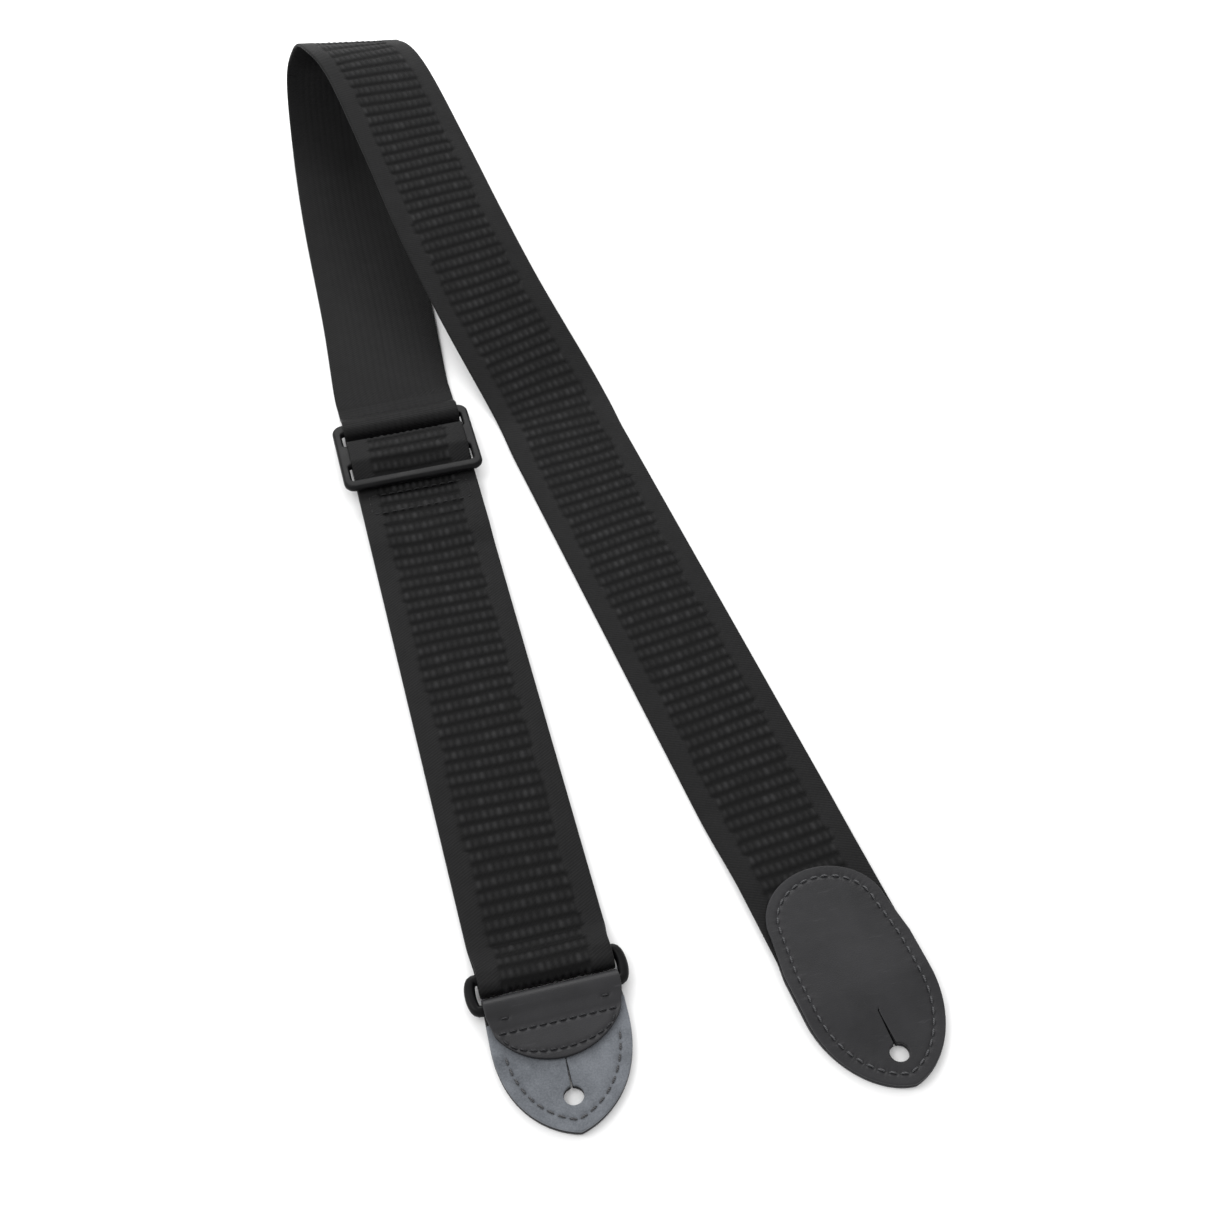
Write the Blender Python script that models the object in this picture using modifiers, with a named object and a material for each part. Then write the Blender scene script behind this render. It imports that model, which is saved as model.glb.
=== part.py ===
"""Guitar strap: one length of 50 mm webbing with a leather end, an adjusting slider, a ring and a leather tab.

The strap lies on a surface at z = 0. Its left run lies along +Y from the tab to a soft standing loop, where the
webbing turns over and comes back beside itself as the right run. Sizes are in millimetres until MM scales them.
"""

import math

import bmesh
import bpy
from mathutils import Matrix, Vector

MM = 0.001
GAP = 0.3

# Webbing
WEB_WIDTH = 50.0
WEB_THICK = 1.5
WEB_HALF = WEB_WIDTH / 2
LAYER = WEB_THICK + GAP
FLOOR_LAYER_Z = WEB_THICK / 2

# Leather
LEATHER = 1.5
LINING = 1.4
PATCH = 1.4
LEATHER_HALF = 24.6

# Soft points of the leather: distance from the tip and half-width of the first control point, then the
# distances of the second one and of the full width
TAB_POINT = (2.2, 9.5, 12.5, 37.5)
PATCH_POINT = (2.1, 13.0, 17.6, 35.7)

# Stations along the left run
TAB_TIP_Y = -0.7
TAB_LEAN = 0.038
TAB_LEAN_FROM_Y = 46.0
TAB_HOLE_Y = 12.5
MOON_CORNER_Y = 39.5
MOON_APEX_Y = 26.0
RING_Y = 56.0
SLIDER_Y = 313.0
LEFT_RUN_START_Y = 345.0
LOOP_START_Y = 480.0

# Ring: a flat oval of round bar
RING_LENGTH = 58.4
RING_X = -0.4
RING_DEPTH = 16.0
RING_BAR = 4.0
RING_BAR_OFFSET = (RING_DEPTH - RING_BAR) / 2
RING_BAR_GAP = 0.3
RING_STRAIGHT_HALF = 25.2
RING_END_STEPS = 12
RING_WEB_HALF = 24.3
TURN_RADIUS = RING_BAR / 2 + RING_BAR_GAP + WEB_THICK / 2
RING_Z = FLOOR_LAYER_Z + TURN_RADIUS
TURN_END_Y = 84.0
TURN_Y = 58.5

# Slider: a moulded frame with three bars, lying a little tilted on the layers that pass through it
SLIDER_X = -0.4
SLIDER_WIDTH = 59.0
SLIDER_DEPTH = 40.0
SLIDER_THICK = 3.0
SLIDER_CORNER = 4.5
SLIDER_TILT = math.radians(5.0)
SLIDER_Z = 5.75
TOP_BAR = 6.0
BOTTOM_BAR = 5.0
CENTRE_BAR = 13.0
SLOT_HALF = 25.8
SLOT_CORNER = 0.8
BAR_EDGE = SLIDER_THICK / 2
BAR_CLEARANCE = 0.5
PASS_RADIUS = BAR_EDGE + BAR_CLEARANCE + WEB_THICK / 2
WRAP_END_Y = 274.0
TAIL_END_Y = 277.0

# Button holes, with a slit that lets the leather open over a button's head
HOLE_RADIUS = 3.5
SLIT_WIDTH = 0.5
SLIT_LENGTH = 13.0

# Right run and its end patch; the axis runs from the loop to the tip
RUN_ANGLE = math.radians(8.0)
RUN_HOLE = Vector((110.4, 0.0, 0.0))
PATCH_TIP = 12.5
PATCH_TOP = 76.0
PATCH_TOP_HALF = 22.6
PATCH_CAP = 20.0
WEB_END = 27.0
TOUCH_DOWN_YS = (304.0, 292.0)

# The webbing's middle line from the slider, round the loop and down to the right run:
# x, y, z, turn of the width about +Z and its fall to the right, in degrees
LOOP_ROUTE = (
    (0.0, 345.0, 0.75, 0.0, 0.0),
    (0.0, 356.0, 0.75, 0.0, 0.0),
    (2.5, 400.0, 0.75, -1.5, 0.0),
    (4.5, 465.0, 0.75, -2.5, 0.0),
    (7.5, 513.5, 3.0, -2.5, 1.5),
    (11.5, 546.5, 19.5, 0.0, 5.5),
    (16.5, 547.5, 37.5, 3.5, 9.5),
    (20.0, 535.0, 46.5, 6.5, 12.5),
    (27.5, 513.5, 46.0, 8.5, 12.0),
    (36.5, 465.0, 34.5, 9.5, 7.5),
    (43.0, 424.5, 25.5, 10.0, 3.0),
    (51.5, 382.5, 15.0, 9.5, 1.5),
    (64.0, 332.0, 2.0, 9.0, 0.0),
)
ROWS_PER_SPAN = 5

# Threads
THREAD = 0.7
SEAM_INSET = 4.0

# Base colours
WEB_COLOUR = (0.018, 0.018, 0.020)
PLASTIC_COLOUR = (0.012, 0.012, 0.013)
LEATHER_COLOUR = (0.035, 0.035, 0.038)
SUEDE_COLOUR = (0.16, 0.17, 0.19)
THREAD_COLOUR = (0.02, 0.02, 0.022)


def start_scene():
    """Empty the scene and make the two collections and the empty that carries the strap."""
    for obj in list(bpy.data.objects):
        bpy.data.objects.remove(obj, do_unlink=True)
    parts = bpy.data.collections.new("guitar_strap")
    cutters = bpy.data.collections.new("cutters")
    for collection in (parts, cutters):
        bpy.context.scene.collection.children.link(collection)
    origin = bpy.data.objects.new("strap_origin", None)
    parts.objects.link(origin)
    return parts, cutters, origin


def material(name, colour, roughness):
    """A Principled material."""
    made = bpy.data.materials.new(name)
    made.use_nodes = True
    shader = made.node_tree.nodes["Principled BSDF"]
    shader.inputs["Base Color"].default_value = (*colour, 1.0)
    shader.inputs["Roughness"].default_value = roughness
    shader.inputs["Metallic"].default_value = 0.0
    return made


PARTS, CUTTERS, ORIGIN = start_scene()
WEBBING = material("webbing", WEB_COLOUR, 0.85)
PLASTIC = material("plastic", PLASTIC_COLOUR, 0.4)
BLACK_LEATHER = material("black_leather", LEATHER_COLOUR, 0.55)
GREY_SUEDE = material("grey_suede", SUEDE_COLOUR, 0.95)
SEAM_THREAD = material("seam_thread", THREAD_COLOUR, 0.7)


def add_node(name, data, surface):
    """Put an object in the strap's collection under its origin, with one material."""
    obj = bpy.data.objects.new(name, data)
    PARTS.objects.link(obj)
    obj.parent = ORIGIN
    data.materials.append(surface)
    return obj


def metres(point):
    return Vector(point) * MM


def strip(name, rows, thickness, surface):
    """A sheet of even thickness along rows of (left, right) points in millimetres."""
    mesh = bpy.data.meshes.new(name)
    bm = bmesh.new()
    edges = [(bm.verts.new(metres(left)), bm.verts.new(metres(right))) for left, right in rows]
    for (left_a, right_a), (left_b, right_b) in zip(edges, edges[1:]):
        bm.faces.new((left_a, right_a, right_b, left_b))
    bm.normal_update()
    bm.to_mesh(mesh)
    bm.free()
    obj = add_node(name, mesh, surface)
    solid = obj.modifiers.new("thickness", "SOLIDIFY")
    solid.thickness = thickness * MM
    solid.offset = 0.0
    solid.use_even_offset = True
    return obj


def arc(centre_y, centre_z, radius, start, end, steps):
    """Points (y, z) round a bar, angles in degrees from +Y towards +Z."""
    angles = [math.radians(start + (end - start) * i / steps) for i in range(steps + 1)]
    return [(centre_y + radius * math.cos(a), centre_z + radius * math.sin(a)) for a in angles]


def straight_rows(profile, half=WEB_HALF):
    """Rows across the left run from points (y, z)."""
    return [((-half, y, z), (half, y, z)) for y, z in profile]


def bezier(p0, p1, p2, p3, steps):
    """Points on one cubic segment."""
    points = []
    for i in range(steps + 1):
        t = i / steps
        s = 1 - t
        weights = (s**3, 3 * s * s * t, 3 * s * t * t, t**3)
        points.append(tuple(sum(w * p[k] for w, p in zip(weights, (p0, p1, p2, p3))) for k in range(2)))
    return points


def pointed_end(point, steps=12):
    """Half-widths of a softly pointed end, as (distance from the tip, half-width), tip first."""
    near, near_half, far, length = point
    curve = bezier((0.0, 0.0), (near, near_half), (far, LEATHER_HALF), (length, LEATHER_HALF), steps)
    return [(0.0, 0.8)] + curve[1:]


def run_point(across, along, z):
    """A point of the right run: across its width and along its axis from the button hole, tip positive."""
    sideways = Vector((math.cos(RUN_ANGLE), math.sin(RUN_ANGLE), 0.0))
    forwards = Vector((math.sin(RUN_ANGLE), -math.cos(RUN_ANGLE), 0.0))
    return RUN_HOLE + sideways * across + forwards * along + Vector((0.0, 0.0, z))


def run_rows(profile):
    """Rows across the right run from (along, half-width, z)."""
    return [(run_point(-half, along, z), run_point(half, along, z)) for along, half, z in profile]


# ---------------------------------------------------------------- the webbing


def spline_point(p0, p1, p2, p3, t):
    """One point of a Catmull-Rom span from p1 to p2."""
    return [
        0.5 * (2 * b + (c - a) * t + (2 * a - 5 * b + 4 * c - d) * t * t + (3 * b - a - 3 * c + d) * t**3)
        for a, b, c, d in zip(p0, p1, p2, p3)
    ]


def axis_row(y):
    """A row of the route that lies flat on the right run's straight axis."""
    return (RUN_HOLE.x - y * math.tan(RUN_ANGLE), y, FLOOR_LAYER_Z, math.degrees(RUN_ANGLE), 0.0)


def route_samples():
    """The loop route as evenly refined rows of x, y, z, turn, fall."""
    route = [*LOOP_ROUTE, *(axis_row(y) for y in TOUCH_DOWN_YS)]
    first = [2 * a - b for a, b in zip(route[0], route[1])]
    last = [2 * a - b for a, b in zip(route[-1], route[-2])]
    knots = [first, *route, last]
    samples = []
    for i in range(1, len(knots) - 2):
        for step in range(ROWS_PER_SPAN):
            samples.append(spline_point(*knots[i - 1 : i + 3], step / ROWS_PER_SPAN))
    samples.append(list(route[-1]))
    return samples


def route_rows():
    """Rows across the webbing all round the loop, square to its middle line."""
    samples = route_samples()
    rows = []
    for i, (x, y, z, turn, fall) in enumerate(samples):
        ahead = Vector(samples[min(i + 1, len(samples) - 1)][:3])
        behind = Vector(samples[max(i - 1, 0)][:3])
        along = (ahead - behind).normalized()
        turned, dropped = math.radians(turn), math.radians(fall)
        across = Vector((math.cos(turned), math.sin(turned), -math.tan(dropped)))
        across = (across - along * across.dot(along)).normalized() * WEB_HALF
        lowest = FLOOR_LAYER_Z + WEB_HALF * abs(math.sin(dropped))
        middle = Vector((x, y, max(z, lowest)))
        rows.append((middle - across, middle + across))
    return rows


def gap_between(rows, fraction=0.5):
    """Trim the first row back towards the second, so that two stretches meet with a gap."""
    (l0, r0), (l1, r1) = rows[0], rows[1]
    step = (Vector(l1) - Vector(l0)).length
    cut = fraction * GAP / step
    trimmed = (Vector(l0).lerp(Vector(l1), cut), Vector(r0).lerp(Vector(r1), cut))
    return [trimmed, *rows[1:]]


def trimmed_both(rows):
    return gap_between(gap_between(rows)[::-1])[::-1]


def build_running_webbing():
    """The left run above the slider, the top loop and the right run down to its end inside the leather."""
    rows = route_rows()
    split = next(i for i, (left, right) in enumerate(rows) if (left + right).y / 2 >= LOOP_START_Y)
    strip("webbing_left_run", trimmed_both(rows[: split + 1]), WEB_THICK, WEBBING)
    strip("webbing_top_loop", trimmed_both(rows[split:]), WEB_THICK, WEBBING)
    last_left, last_right = rows[-1]
    touch_down = (RUN_HOLE - (last_left + last_right) / 2).length
    lift = PATCH + GAP
    profile = [
        (-touch_down, WEB_HALF, FLOOR_LAYER_Z),
        (-PATCH_TOP - 45.0, WEB_HALF, FLOOR_LAYER_Z),
        (-PATCH_TOP - 25.0, WEB_HALF - 0.4, FLOOR_LAYER_Z + 0.2 * lift),
        (-PATCH_TOP - 10.0, WEB_HALF - 0.7, FLOOR_LAYER_Z + 0.8 * lift),
        (-PATCH_TOP, WEB_HALF - 0.8, FLOOR_LAYER_Z + lift),
        (-WEB_END, WEB_HALF - 0.8, FLOOR_LAYER_Z + lift),
    ]
    strip("webbing_shoulder_run", gap_between(run_rows(profile), 2.0), WEB_THICK, WEBBING)


def slider_offset(distance):
    """Middle of the tilted slider's plate at a distance along it from the centre bar, loop side positive."""
    return (
        SLIDER_Y + distance * math.cos(SLIDER_TILT),
        SLIDER_Z - distance * math.sin(SLIDER_TILT),
    )


def build_slider_webbing():
    """The running layer over the top bar and down through its slot, and the end sewn round the centre bar."""
    top_edge = SLIDER_DEPTH / 2 - BAR_EDGE
    outer_y, outer_z = slider_offset(top_edge)
    inner_y, inner_z = slider_offset(SLIDER_DEPTH / 2 - TOP_BAR + BAR_EDGE)
    dive_end = inner_y - PASS_RADIUS - 2.6
    over = [(LEFT_RUN_START_Y - 2 * GAP, FLOOR_LAYER_Z), (outer_y + 7.5, FLOOR_LAYER_Z + 0.9)]
    over += arc(outer_y, outer_z, PASS_RADIUS, 52, 85, 4)
    over += arc(inner_y, inner_z, PASS_RADIUS, 85, 163, 7)
    over += arc(dive_end, FLOOR_LAYER_Z + 2.0, 2.0, -17, -90, 5)
    over += [(SLIDER_Y - 2.0, FLOOR_LAYER_Z)]
    strip("webbing_slider_pass", straight_rows(over), WEB_THICK, WEBBING)

    tail_z = FLOOR_LAYER_Z + LAYER
    return_z = tail_z + LAYER
    bar_y, bar_z = slider_offset(CENTRE_BAR / 2 - BAR_EDGE)
    low_y, low_z = slider_offset(-CENTRE_BAR / 2 + BAR_EDGE)
    wrap = [(WRAP_END_Y, return_z), (SLIDER_Y - 15.0, return_z)]
    wrap += arc(low_y, low_z, PASS_RADIUS, 115, 95, 3)
    wrap += arc(bar_y, bar_z, PASS_RADIUS, 85, -90, 10)
    wrap += [(SLIDER_Y - 5.0, tail_z), (TAIL_END_Y, tail_z)]
    strip("webbing_bar_wrap", straight_rows(wrap), WEB_THICK, WEBBING)


def build_doubled_webbing():
    """The two layers between the slider and the ring, and the slack turn round the ring's bar."""
    bar_y = RING_Y + RING_BAR_OFFSET
    under = [(SLIDER_Y - 2.0 - GAP, FLOOR_LAYER_Z), (TURN_END_Y + GAP, FLOOR_LAYER_Z)]
    strip("webbing_under_layer", straight_rows(under), WEB_THICK, WEBBING)
    turn = straight_rows([(TURN_END_Y, FLOOR_LAYER_Z)])
    turn += straight_rows([(bar_y + 5.0, FLOOR_LAYER_Z)], RING_WEB_HALF)
    turn += straight_rows(arc(TURN_Y, RING_Z, TURN_RADIUS, 270, 90, 12), RING_WEB_HALF)
    turn += straight_rows([(bar_y + 1.0, RING_Z + TURN_RADIUS), (bar_y + 5.5, RING_Z + 1.6)], RING_WEB_HALF)
    turn += straight_rows([(bar_y + 11.0, FLOOR_LAYER_Z + LAYER + 0.4), (TURN_END_Y, FLOOR_LAYER_Z + LAYER)])
    strip("webbing_ring_turn", turn, WEB_THICK, WEBBING)
    return_z = FLOOR_LAYER_Z + 2 * LAYER
    back = [(TURN_END_Y + GAP, FLOOR_LAYER_Z + LAYER), (WRAP_END_Y - 18.0, FLOOR_LAYER_Z + LAYER)]
    back += [(WRAP_END_Y - 8.0, return_z), (WRAP_END_Y - GAP, return_z)]
    strip("webbing_return_layer", straight_rows(back), WEB_THICK, WEBBING)


# ---------------------------------------------------------------- the hardware


def flat_outline(name, loops, thickness, surface):
    """A flat plate from a 2D curve: the first loop is its outline and the others are its openings."""
    curve = bpy.data.curves.new(name, "CURVE")
    curve.dimensions = "2D"
    curve.fill_mode = "BOTH"
    curve.extrude = thickness * MM / 2
    curve.render_resolution_u = 0
    for loop in loops:
        spline = curve.splines.new("POLY")
        spline.points.add(len(loop) - 1)
        for point, (x, y) in zip(spline.points, loop):
            point.co = (x * MM, y * MM, 0.0, 1.0)
        spline.use_cyclic_u = True
    return add_node(name, curve, surface)


def rounded_rectangle(half_x, low_y, high_y, radius, steps=5):
    """Corner points of a rectangle with round corners, counter-clockwise."""
    corners = (
        (half_x - radius, high_y - radius, 0),
        (-half_x + radius, high_y - radius, 90),
        (-half_x + radius, low_y + radius, 180),
        (half_x - radius, low_y + radius, 270),
    )
    points = []
    for x, y, start in corners:
        points += arc(x, y, radius, start, start + 90, steps)
    return points


def as_mesh(obj):
    """Replace a curve object by its own mesh, welded, so that it can be bevelled."""
    depsgraph = bpy.context.evaluated_depsgraph_get()
    mesh = bpy.data.meshes.new_from_object(obj.evaluated_get(depsgraph))
    bm = bmesh.new()
    bm.from_mesh(mesh)
    bmesh.ops.remove_doubles(bm, verts=bm.verts, dist=1e-6)
    bmesh.ops.recalc_face_normals(bm, faces=bm.faces)
    bmesh.ops.dissolve_limit(bm, angle_limit=math.radians(1.0), verts=bm.verts, edges=bm.edges)
    bm.to_mesh(mesh)
    bm.free()
    name, place, surface = obj.name, obj.matrix_basis.copy(), obj.data.materials[0]
    bpy.data.objects.remove(obj, do_unlink=True)
    mesh.materials.clear()
    made = add_node(name, mesh, surface)
    made.matrix_basis = place
    return made


def build_slider():
    """The moulded slider: a rounded frame with two slots."""
    half_depth = SLIDER_DEPTH / 2
    outline = rounded_rectangle(SLIDER_WIDTH / 2, -half_depth, half_depth, SLIDER_CORNER)
    upper_slot = rounded_rectangle(SLOT_HALF, CENTRE_BAR / 2, half_depth - TOP_BAR, SLOT_CORNER, 3)
    lower_slot = rounded_rectangle(SLOT_HALF, -half_depth + BOTTOM_BAR, -CENTRE_BAR / 2, SLOT_CORNER, 3)
    plate = as_mesh(flat_outline("slider_frame", (outline, upper_slot, lower_slot), SLIDER_THICK, PLASTIC))
    plate.location = metres((SLIDER_X, SLIDER_Y, SLIDER_Z))
    plate.rotation_euler = (-SLIDER_TILT, 0.0, 0.0)
    soften = plate.modifiers.new("round_edges", "BEVEL")
    soften.width = 1.1 * MM
    soften.segments = 3
    soften.use_clamp_overlap = False
    soften.limit_method = "ANGLE"
    soften.angle_limit = math.radians(50.0)


def closed_bar(name, points, diameter, surface, resolution=2):
    """A closed ring of round bar or thread through points in millimetres."""
    curve = bpy.data.curves.new(name, "CURVE")
    curve.dimensions = "3D"
    curve.bevel_depth = diameter * MM / 2
    curve.bevel_resolution = resolution
    curve.use_fill_caps = True
    curve.render_resolution_u = 0
    spline = curve.splines.new("POLY")
    spline.points.add(len(points) - 1)
    for point, place in zip(spline.points, points):
        point.co = (*metres(place), 1.0)
    spline.use_cyclic_u = True
    return add_node(name, curve, surface)


def open_threads(name, runs):
    """Open runs of thread in one object."""
    obj = closed_bar(name, runs[0], THREAD, SEAM_THREAD, 1)
    obj.data.splines[0].use_cyclic_u = False
    for points in runs[1:]:
        spline = obj.data.splines.new("POLY")
        spline.points.add(len(points) - 1)
        for point, place in zip(spline.points, points):
            point.co = (*metres(place), 1.0)
    return obj


def build_ring():
    """The oval ring that joins the webbing to the tab."""
    reach = (RING_LENGTH - RING_BAR) / 2 - RING_STRAIGHT_HALF
    points = []
    for side in (1, -1):
        for i in range(RING_END_STEPS + 1):
            angle = math.pi * (i / RING_END_STEPS - 0.5)
            x = RING_X + side * (RING_STRAIGHT_HALF + reach * math.cos(angle))
            y = side * RING_BAR_OFFSET * math.sin(angle)
            points.append((x, RING_Y + y, RING_Z))
    closed_bar("ring", points, RING_BAR, PLASTIC, 3)


# ---------------------------------------------------------------- the leather


def cutter(name, mesh):
    """A hidden solid that cuts others."""
    obj = bpy.data.objects.new(name, mesh)
    CUTTERS.objects.link(obj)
    obj.hide_render = True
    obj.display_type = "WIRE"
    obj.parent = ORIGIN
    return obj


def button_cutters(name, centre, towards):
    """A round cutter for a button hole and a thin one for its slit, which runs from the hole along towards."""
    round_mesh = bpy.data.meshes.new(name + "_round")
    bm = bmesh.new()
    bmesh.ops.create_cone(
        bm,
        cap_ends=True,
        segments=20,
        radius1=HOLE_RADIUS * MM,
        radius2=HOLE_RADIUS * MM,
        depth=20.0 * MM,
    )
    bm.to_mesh(round_mesh)
    bm.free()
    hole = cutter(name + "_round", round_mesh)
    hole.location = metres(centre)

    slit_mesh = bpy.data.meshes.new(name + "_slit")
    bm = bmesh.new()
    bmesh.ops.create_cube(bm, size=1.0)
    bmesh.ops.scale(bm, vec=Vector((SLIT_WIDTH, SLIT_LENGTH + HOLE_RADIUS, 20.0)) * MM, verts=bm.verts)
    bm.to_mesh(slit_mesh)
    bm.free()
    slit = cutter(name + "_slit", slit_mesh)
    direction = Vector(towards).normalized()
    slit.location = metres(Vector(centre) + direction * (SLIT_LENGTH + HOLE_RADIUS) / 2)
    slit.rotation_euler = (0.0, 0.0, math.atan2(-direction.x, direction.y))
    return hole, slit


def cut(obj, cutters):
    for tool in cutters:
        boolean = obj.modifiers.new("cut_" + tool.name, "BOOLEAN")
        boolean.operation = "DIFFERENCE"
        boolean.solver = "EXACT"
        boolean.object = tool


def tab_row(half, y, z):
    """A row across the tab, which leans a little to the left below the ring."""
    lean = -TAB_LEAN * max(TAB_LEAN_FROM_Y - y, 0.0)
    return (lean - half, y, z), (lean + half, y, z)


def moon_half_width(y):
    """Half-width of the flap's half-moon between its apex and its corners."""
    corner_half = LEATHER_HALF - 2.0
    rise = MOON_CORNER_Y - MOON_APEX_Y
    radius = (corner_half**2 + rise**2) / (2 * rise)
    below = MOON_APEX_Y + radius - y
    return max(math.sqrt(max(radius**2 - below**2, 0.0)), 0.8)


def build_tab():
    """The tab: an outer leather that wraps the ring's bar and ends in a half-moon flap, and its grey lining."""
    bar_y = RING_Y - RING_BAR_OFFSET
    radius = RING_BAR / 2 + RING_BAR_GAP + LEATHER / 2
    bar_z = LEATHER / 2 + radius
    lining_top = LEATHER + GAP + LINING
    flap_z = lining_top + GAP + LEATHER / 2
    point = [(TAB_TIP_Y + distance, half) for distance, half in pointed_end(TAB_POINT)]
    rows = [tab_row(half, y, LEATHER / 2) for y, half in point]
    wrap_half = LEATHER_HALF - 0.2
    rows += straight_rows(arc(bar_y, bar_z, radius, -90, 90, 12), wrap_half)
    rows += straight_rows([(bar_y - 4.0, bar_z + radius - 1.5)], wrap_half)
    corner_half = LEATHER_HALF - 2.0
    rows.append(tab_row(corner_half + 0.1, MOON_CORNER_Y + 1.0, flap_z))
    steps = 10
    for i in range(steps + 1):
        y = MOON_CORNER_Y - (MOON_CORNER_Y - MOON_APEX_Y) * math.sin(math.pi / 2 * i / steps)
        rows.append(tab_row(moon_half_width(y), y, flap_z))
    outer = strip("tab_leather", rows, LEATHER, BLACK_LEATHER)

    lining_z = LEATHER + GAP + LINING / 2
    lining_rows = [tab_row(half, y, lining_z) for y, half in point]
    lining_rows.append(tab_row(LEATHER_HALF, bar_y - 5.5, lining_z))
    lining = strip("tab_lining", lining_rows, LINING, GREY_SUEDE)
    hole_x = -TAB_LEAN * (TAB_LEAN_FROM_Y - TAB_HOLE_Y)
    tools = button_cutters("tab_hole", (hole_x, TAB_HOLE_Y, 0.0), (TAB_LEAN, 1.0, 0.0))
    cut(outer, tools)
    cut(lining, tools)
    return lining_top, flap_z + LEATHER / 2, bar_y


def patch_profile(level):
    """Rows of the end patch as (along, half-width, z), top first, with level(along) giving its height."""
    rows = []
    steps = 8
    for i in range(steps + 1):
        angle = math.pi / 2 * i / steps
        along = -PATCH_TOP + PATCH_CAP * (1 - math.cos(angle))
        rows.append((along, max(PATCH_TOP_HALF * math.sin(angle), 0.8)))
    rows.append((-40.0, LEATHER_HALF))
    rows += [(-WEB_END + 1.0, LEATHER_HALF)]
    rows += [(PATCH_TIP - distance, half) for distance, half in reversed(pointed_end(PATCH_POINT))]
    return [(along, half, level(along)) for along, half in rows]


def build_end_patch():
    """Two leather faces over the webbing's end, with the button hole through both."""
    over_web = PATCH + 2 * GAP + WEB_THICK + PATCH / 2
    past_web = PATCH + GAP + PATCH / 2

    def front_level(along):
        return over_web if along < -WEB_END + 2.0 else past_web

    back = strip("end_patch_back", run_rows(patch_profile(lambda along: PATCH / 2)), PATCH, BLACK_LEATHER)
    front = strip("end_patch_front", run_rows(patch_profile(front_level)), PATCH, BLACK_LEATHER)
    inward = run_point(0.0, -1.0, 0.0) - run_point(0.0, 0.0, 0.0)
    tools = button_cutters("end_hole", RUN_HOLE, inward)
    cut(back, tools)
    cut(front, tools)
    return front_level


# ---------------------------------------------------------------- the seams


def inset(outline, distance):
    """A closed outline moved inwards by a distance, for an outline that runs counter-clockwise."""
    moved = []
    count = len(outline)
    for i in range(count):
        before, after = Vector(outline[i - 1]), Vector(outline[(i + 1) % count])
        along = (after - before).normalized()
        moved.append(tuple(Vector(outline[i]) + Vector((-along.y, along.x)) * distance))
    return moved


def build_patch_seam(front_level):
    """The thread round the end patch's front face."""
    right_side = [(half, along) for along, half, z in patch_profile(front_level)]
    outline = right_side[::-1] + [(-half, along) for half, along in right_side]
    seam = inset(outline, -SEAM_INSET)
    points = []
    for across, along in seam:
        top = front_level(along) + PATCH / 2
        points.append(run_point(across, along, top + GAP + THREAD / 2))
    closed_bar("end_patch_seam", points, THREAD, SEAM_THREAD, 1)


def build_tab_seams(lining_top, flap_top, bar_y):
    """The thread round the tab's border, and the straight and curved rows that hold the flap."""
    border_z = lining_top + GAP + THREAD / 2
    point = [(TAB_TIP_Y + distance, half) for distance, half in pointed_end(TAB_POINT)]
    rows = [tab_row(half - SEAM_INSET, y + 1.5, border_z) for y, half in point[3:] if y < MOON_APEX_Y + 1.5]
    tip = tab_row(0.0, TAB_TIP_Y + SEAM_INSET + 0.8, border_z)[0]
    open_threads("tab_border_seam", [[left for left, right in rows[::-1]] + [tip] + [right for left, right in rows]])

    row_z = flap_top + GAP + THREAD / 2
    row_half = LEATHER_HALF - 4.5
    left, right = tab_row(row_half, MOON_CORNER_Y, row_z)
    open_threads("flap_row_seam", [[left, right]])
    curve = []
    for i in range(-8, 9):
        angle = math.pi / 2 * i / 8
        y = MOON_CORNER_Y - 2.0 - (MOON_CORNER_Y - MOON_APEX_Y - 5.5) * math.cos(angle)
        left, right = tab_row((row_half - 1.5) * math.sin(angle), y, row_z)
        curve.append(right)
    open_threads("flap_edge_seam", [curve])


def build_tail_seam():
    """The box of thread that holds the webbing's folded end below the slider."""
    top = FLOOR_LAYER_Z + 2 * LAYER + WEB_THICK / 2 + GAP + THREAD / 2
    low, high, half = TAIL_END_Y + 3.0, SLIDER_Y - SLIDER_DEPTH / 2 - 3.0, WEB_HALF - 4.0
    box = [(-half, low, top), (half, low, top), (half, high, top), (-half, high, top)]
    closed_bar("tail_seam", box, THREAD, SEAM_THREAD, 1)


def centre_on_origin():
    """Move the strap so that the middle of its footprint is the origin."""
    bpy.context.view_layer.update()
    depsgraph = bpy.context.evaluated_depsgraph_get()
    points = []
    for obj in PARTS.objects:
        if obj.type != "EMPTY":
            shape = obj.evaluated_get(depsgraph)
            points += [shape.matrix_world @ vertex.co for vertex in shape.to_mesh().vertices]
            shape.to_mesh_clear()
    low = Vector([min(p[k] for p in points) for k in range(3)])
    high = Vector([max(p[k] for p in points) for k in range(3)])
    middle = (low + high) / 2
    ORIGIN.matrix_world = Matrix.Translation((-middle.x, -middle.y, -low.z))
    bpy.context.view_layer.update()
    print("origin moved by", [round(v, 6) for v in ORIGIN.location], "size", [round(v, 5) for v in high - low])


build_running_webbing()
build_slider_webbing()
build_doubled_webbing()
build_slider()
build_ring()
LINING_TOP, FLAP_TOP, TAB_BAR_Y = build_tab()
FRONT_LEVEL = build_end_patch()
build_patch_seam(FRONT_LEVEL)
build_tab_seams(LINING_TOP, FLAP_TOP, TAB_BAR_Y)
build_tail_seam()
centre_on_origin()
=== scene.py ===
"""The looks of a ribbed webbing guitar strap with leather ends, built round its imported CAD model."""

import math

import bpy
import numpy as np
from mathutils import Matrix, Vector
from mathutils.geometry import delaunay_2d_cdt


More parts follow.
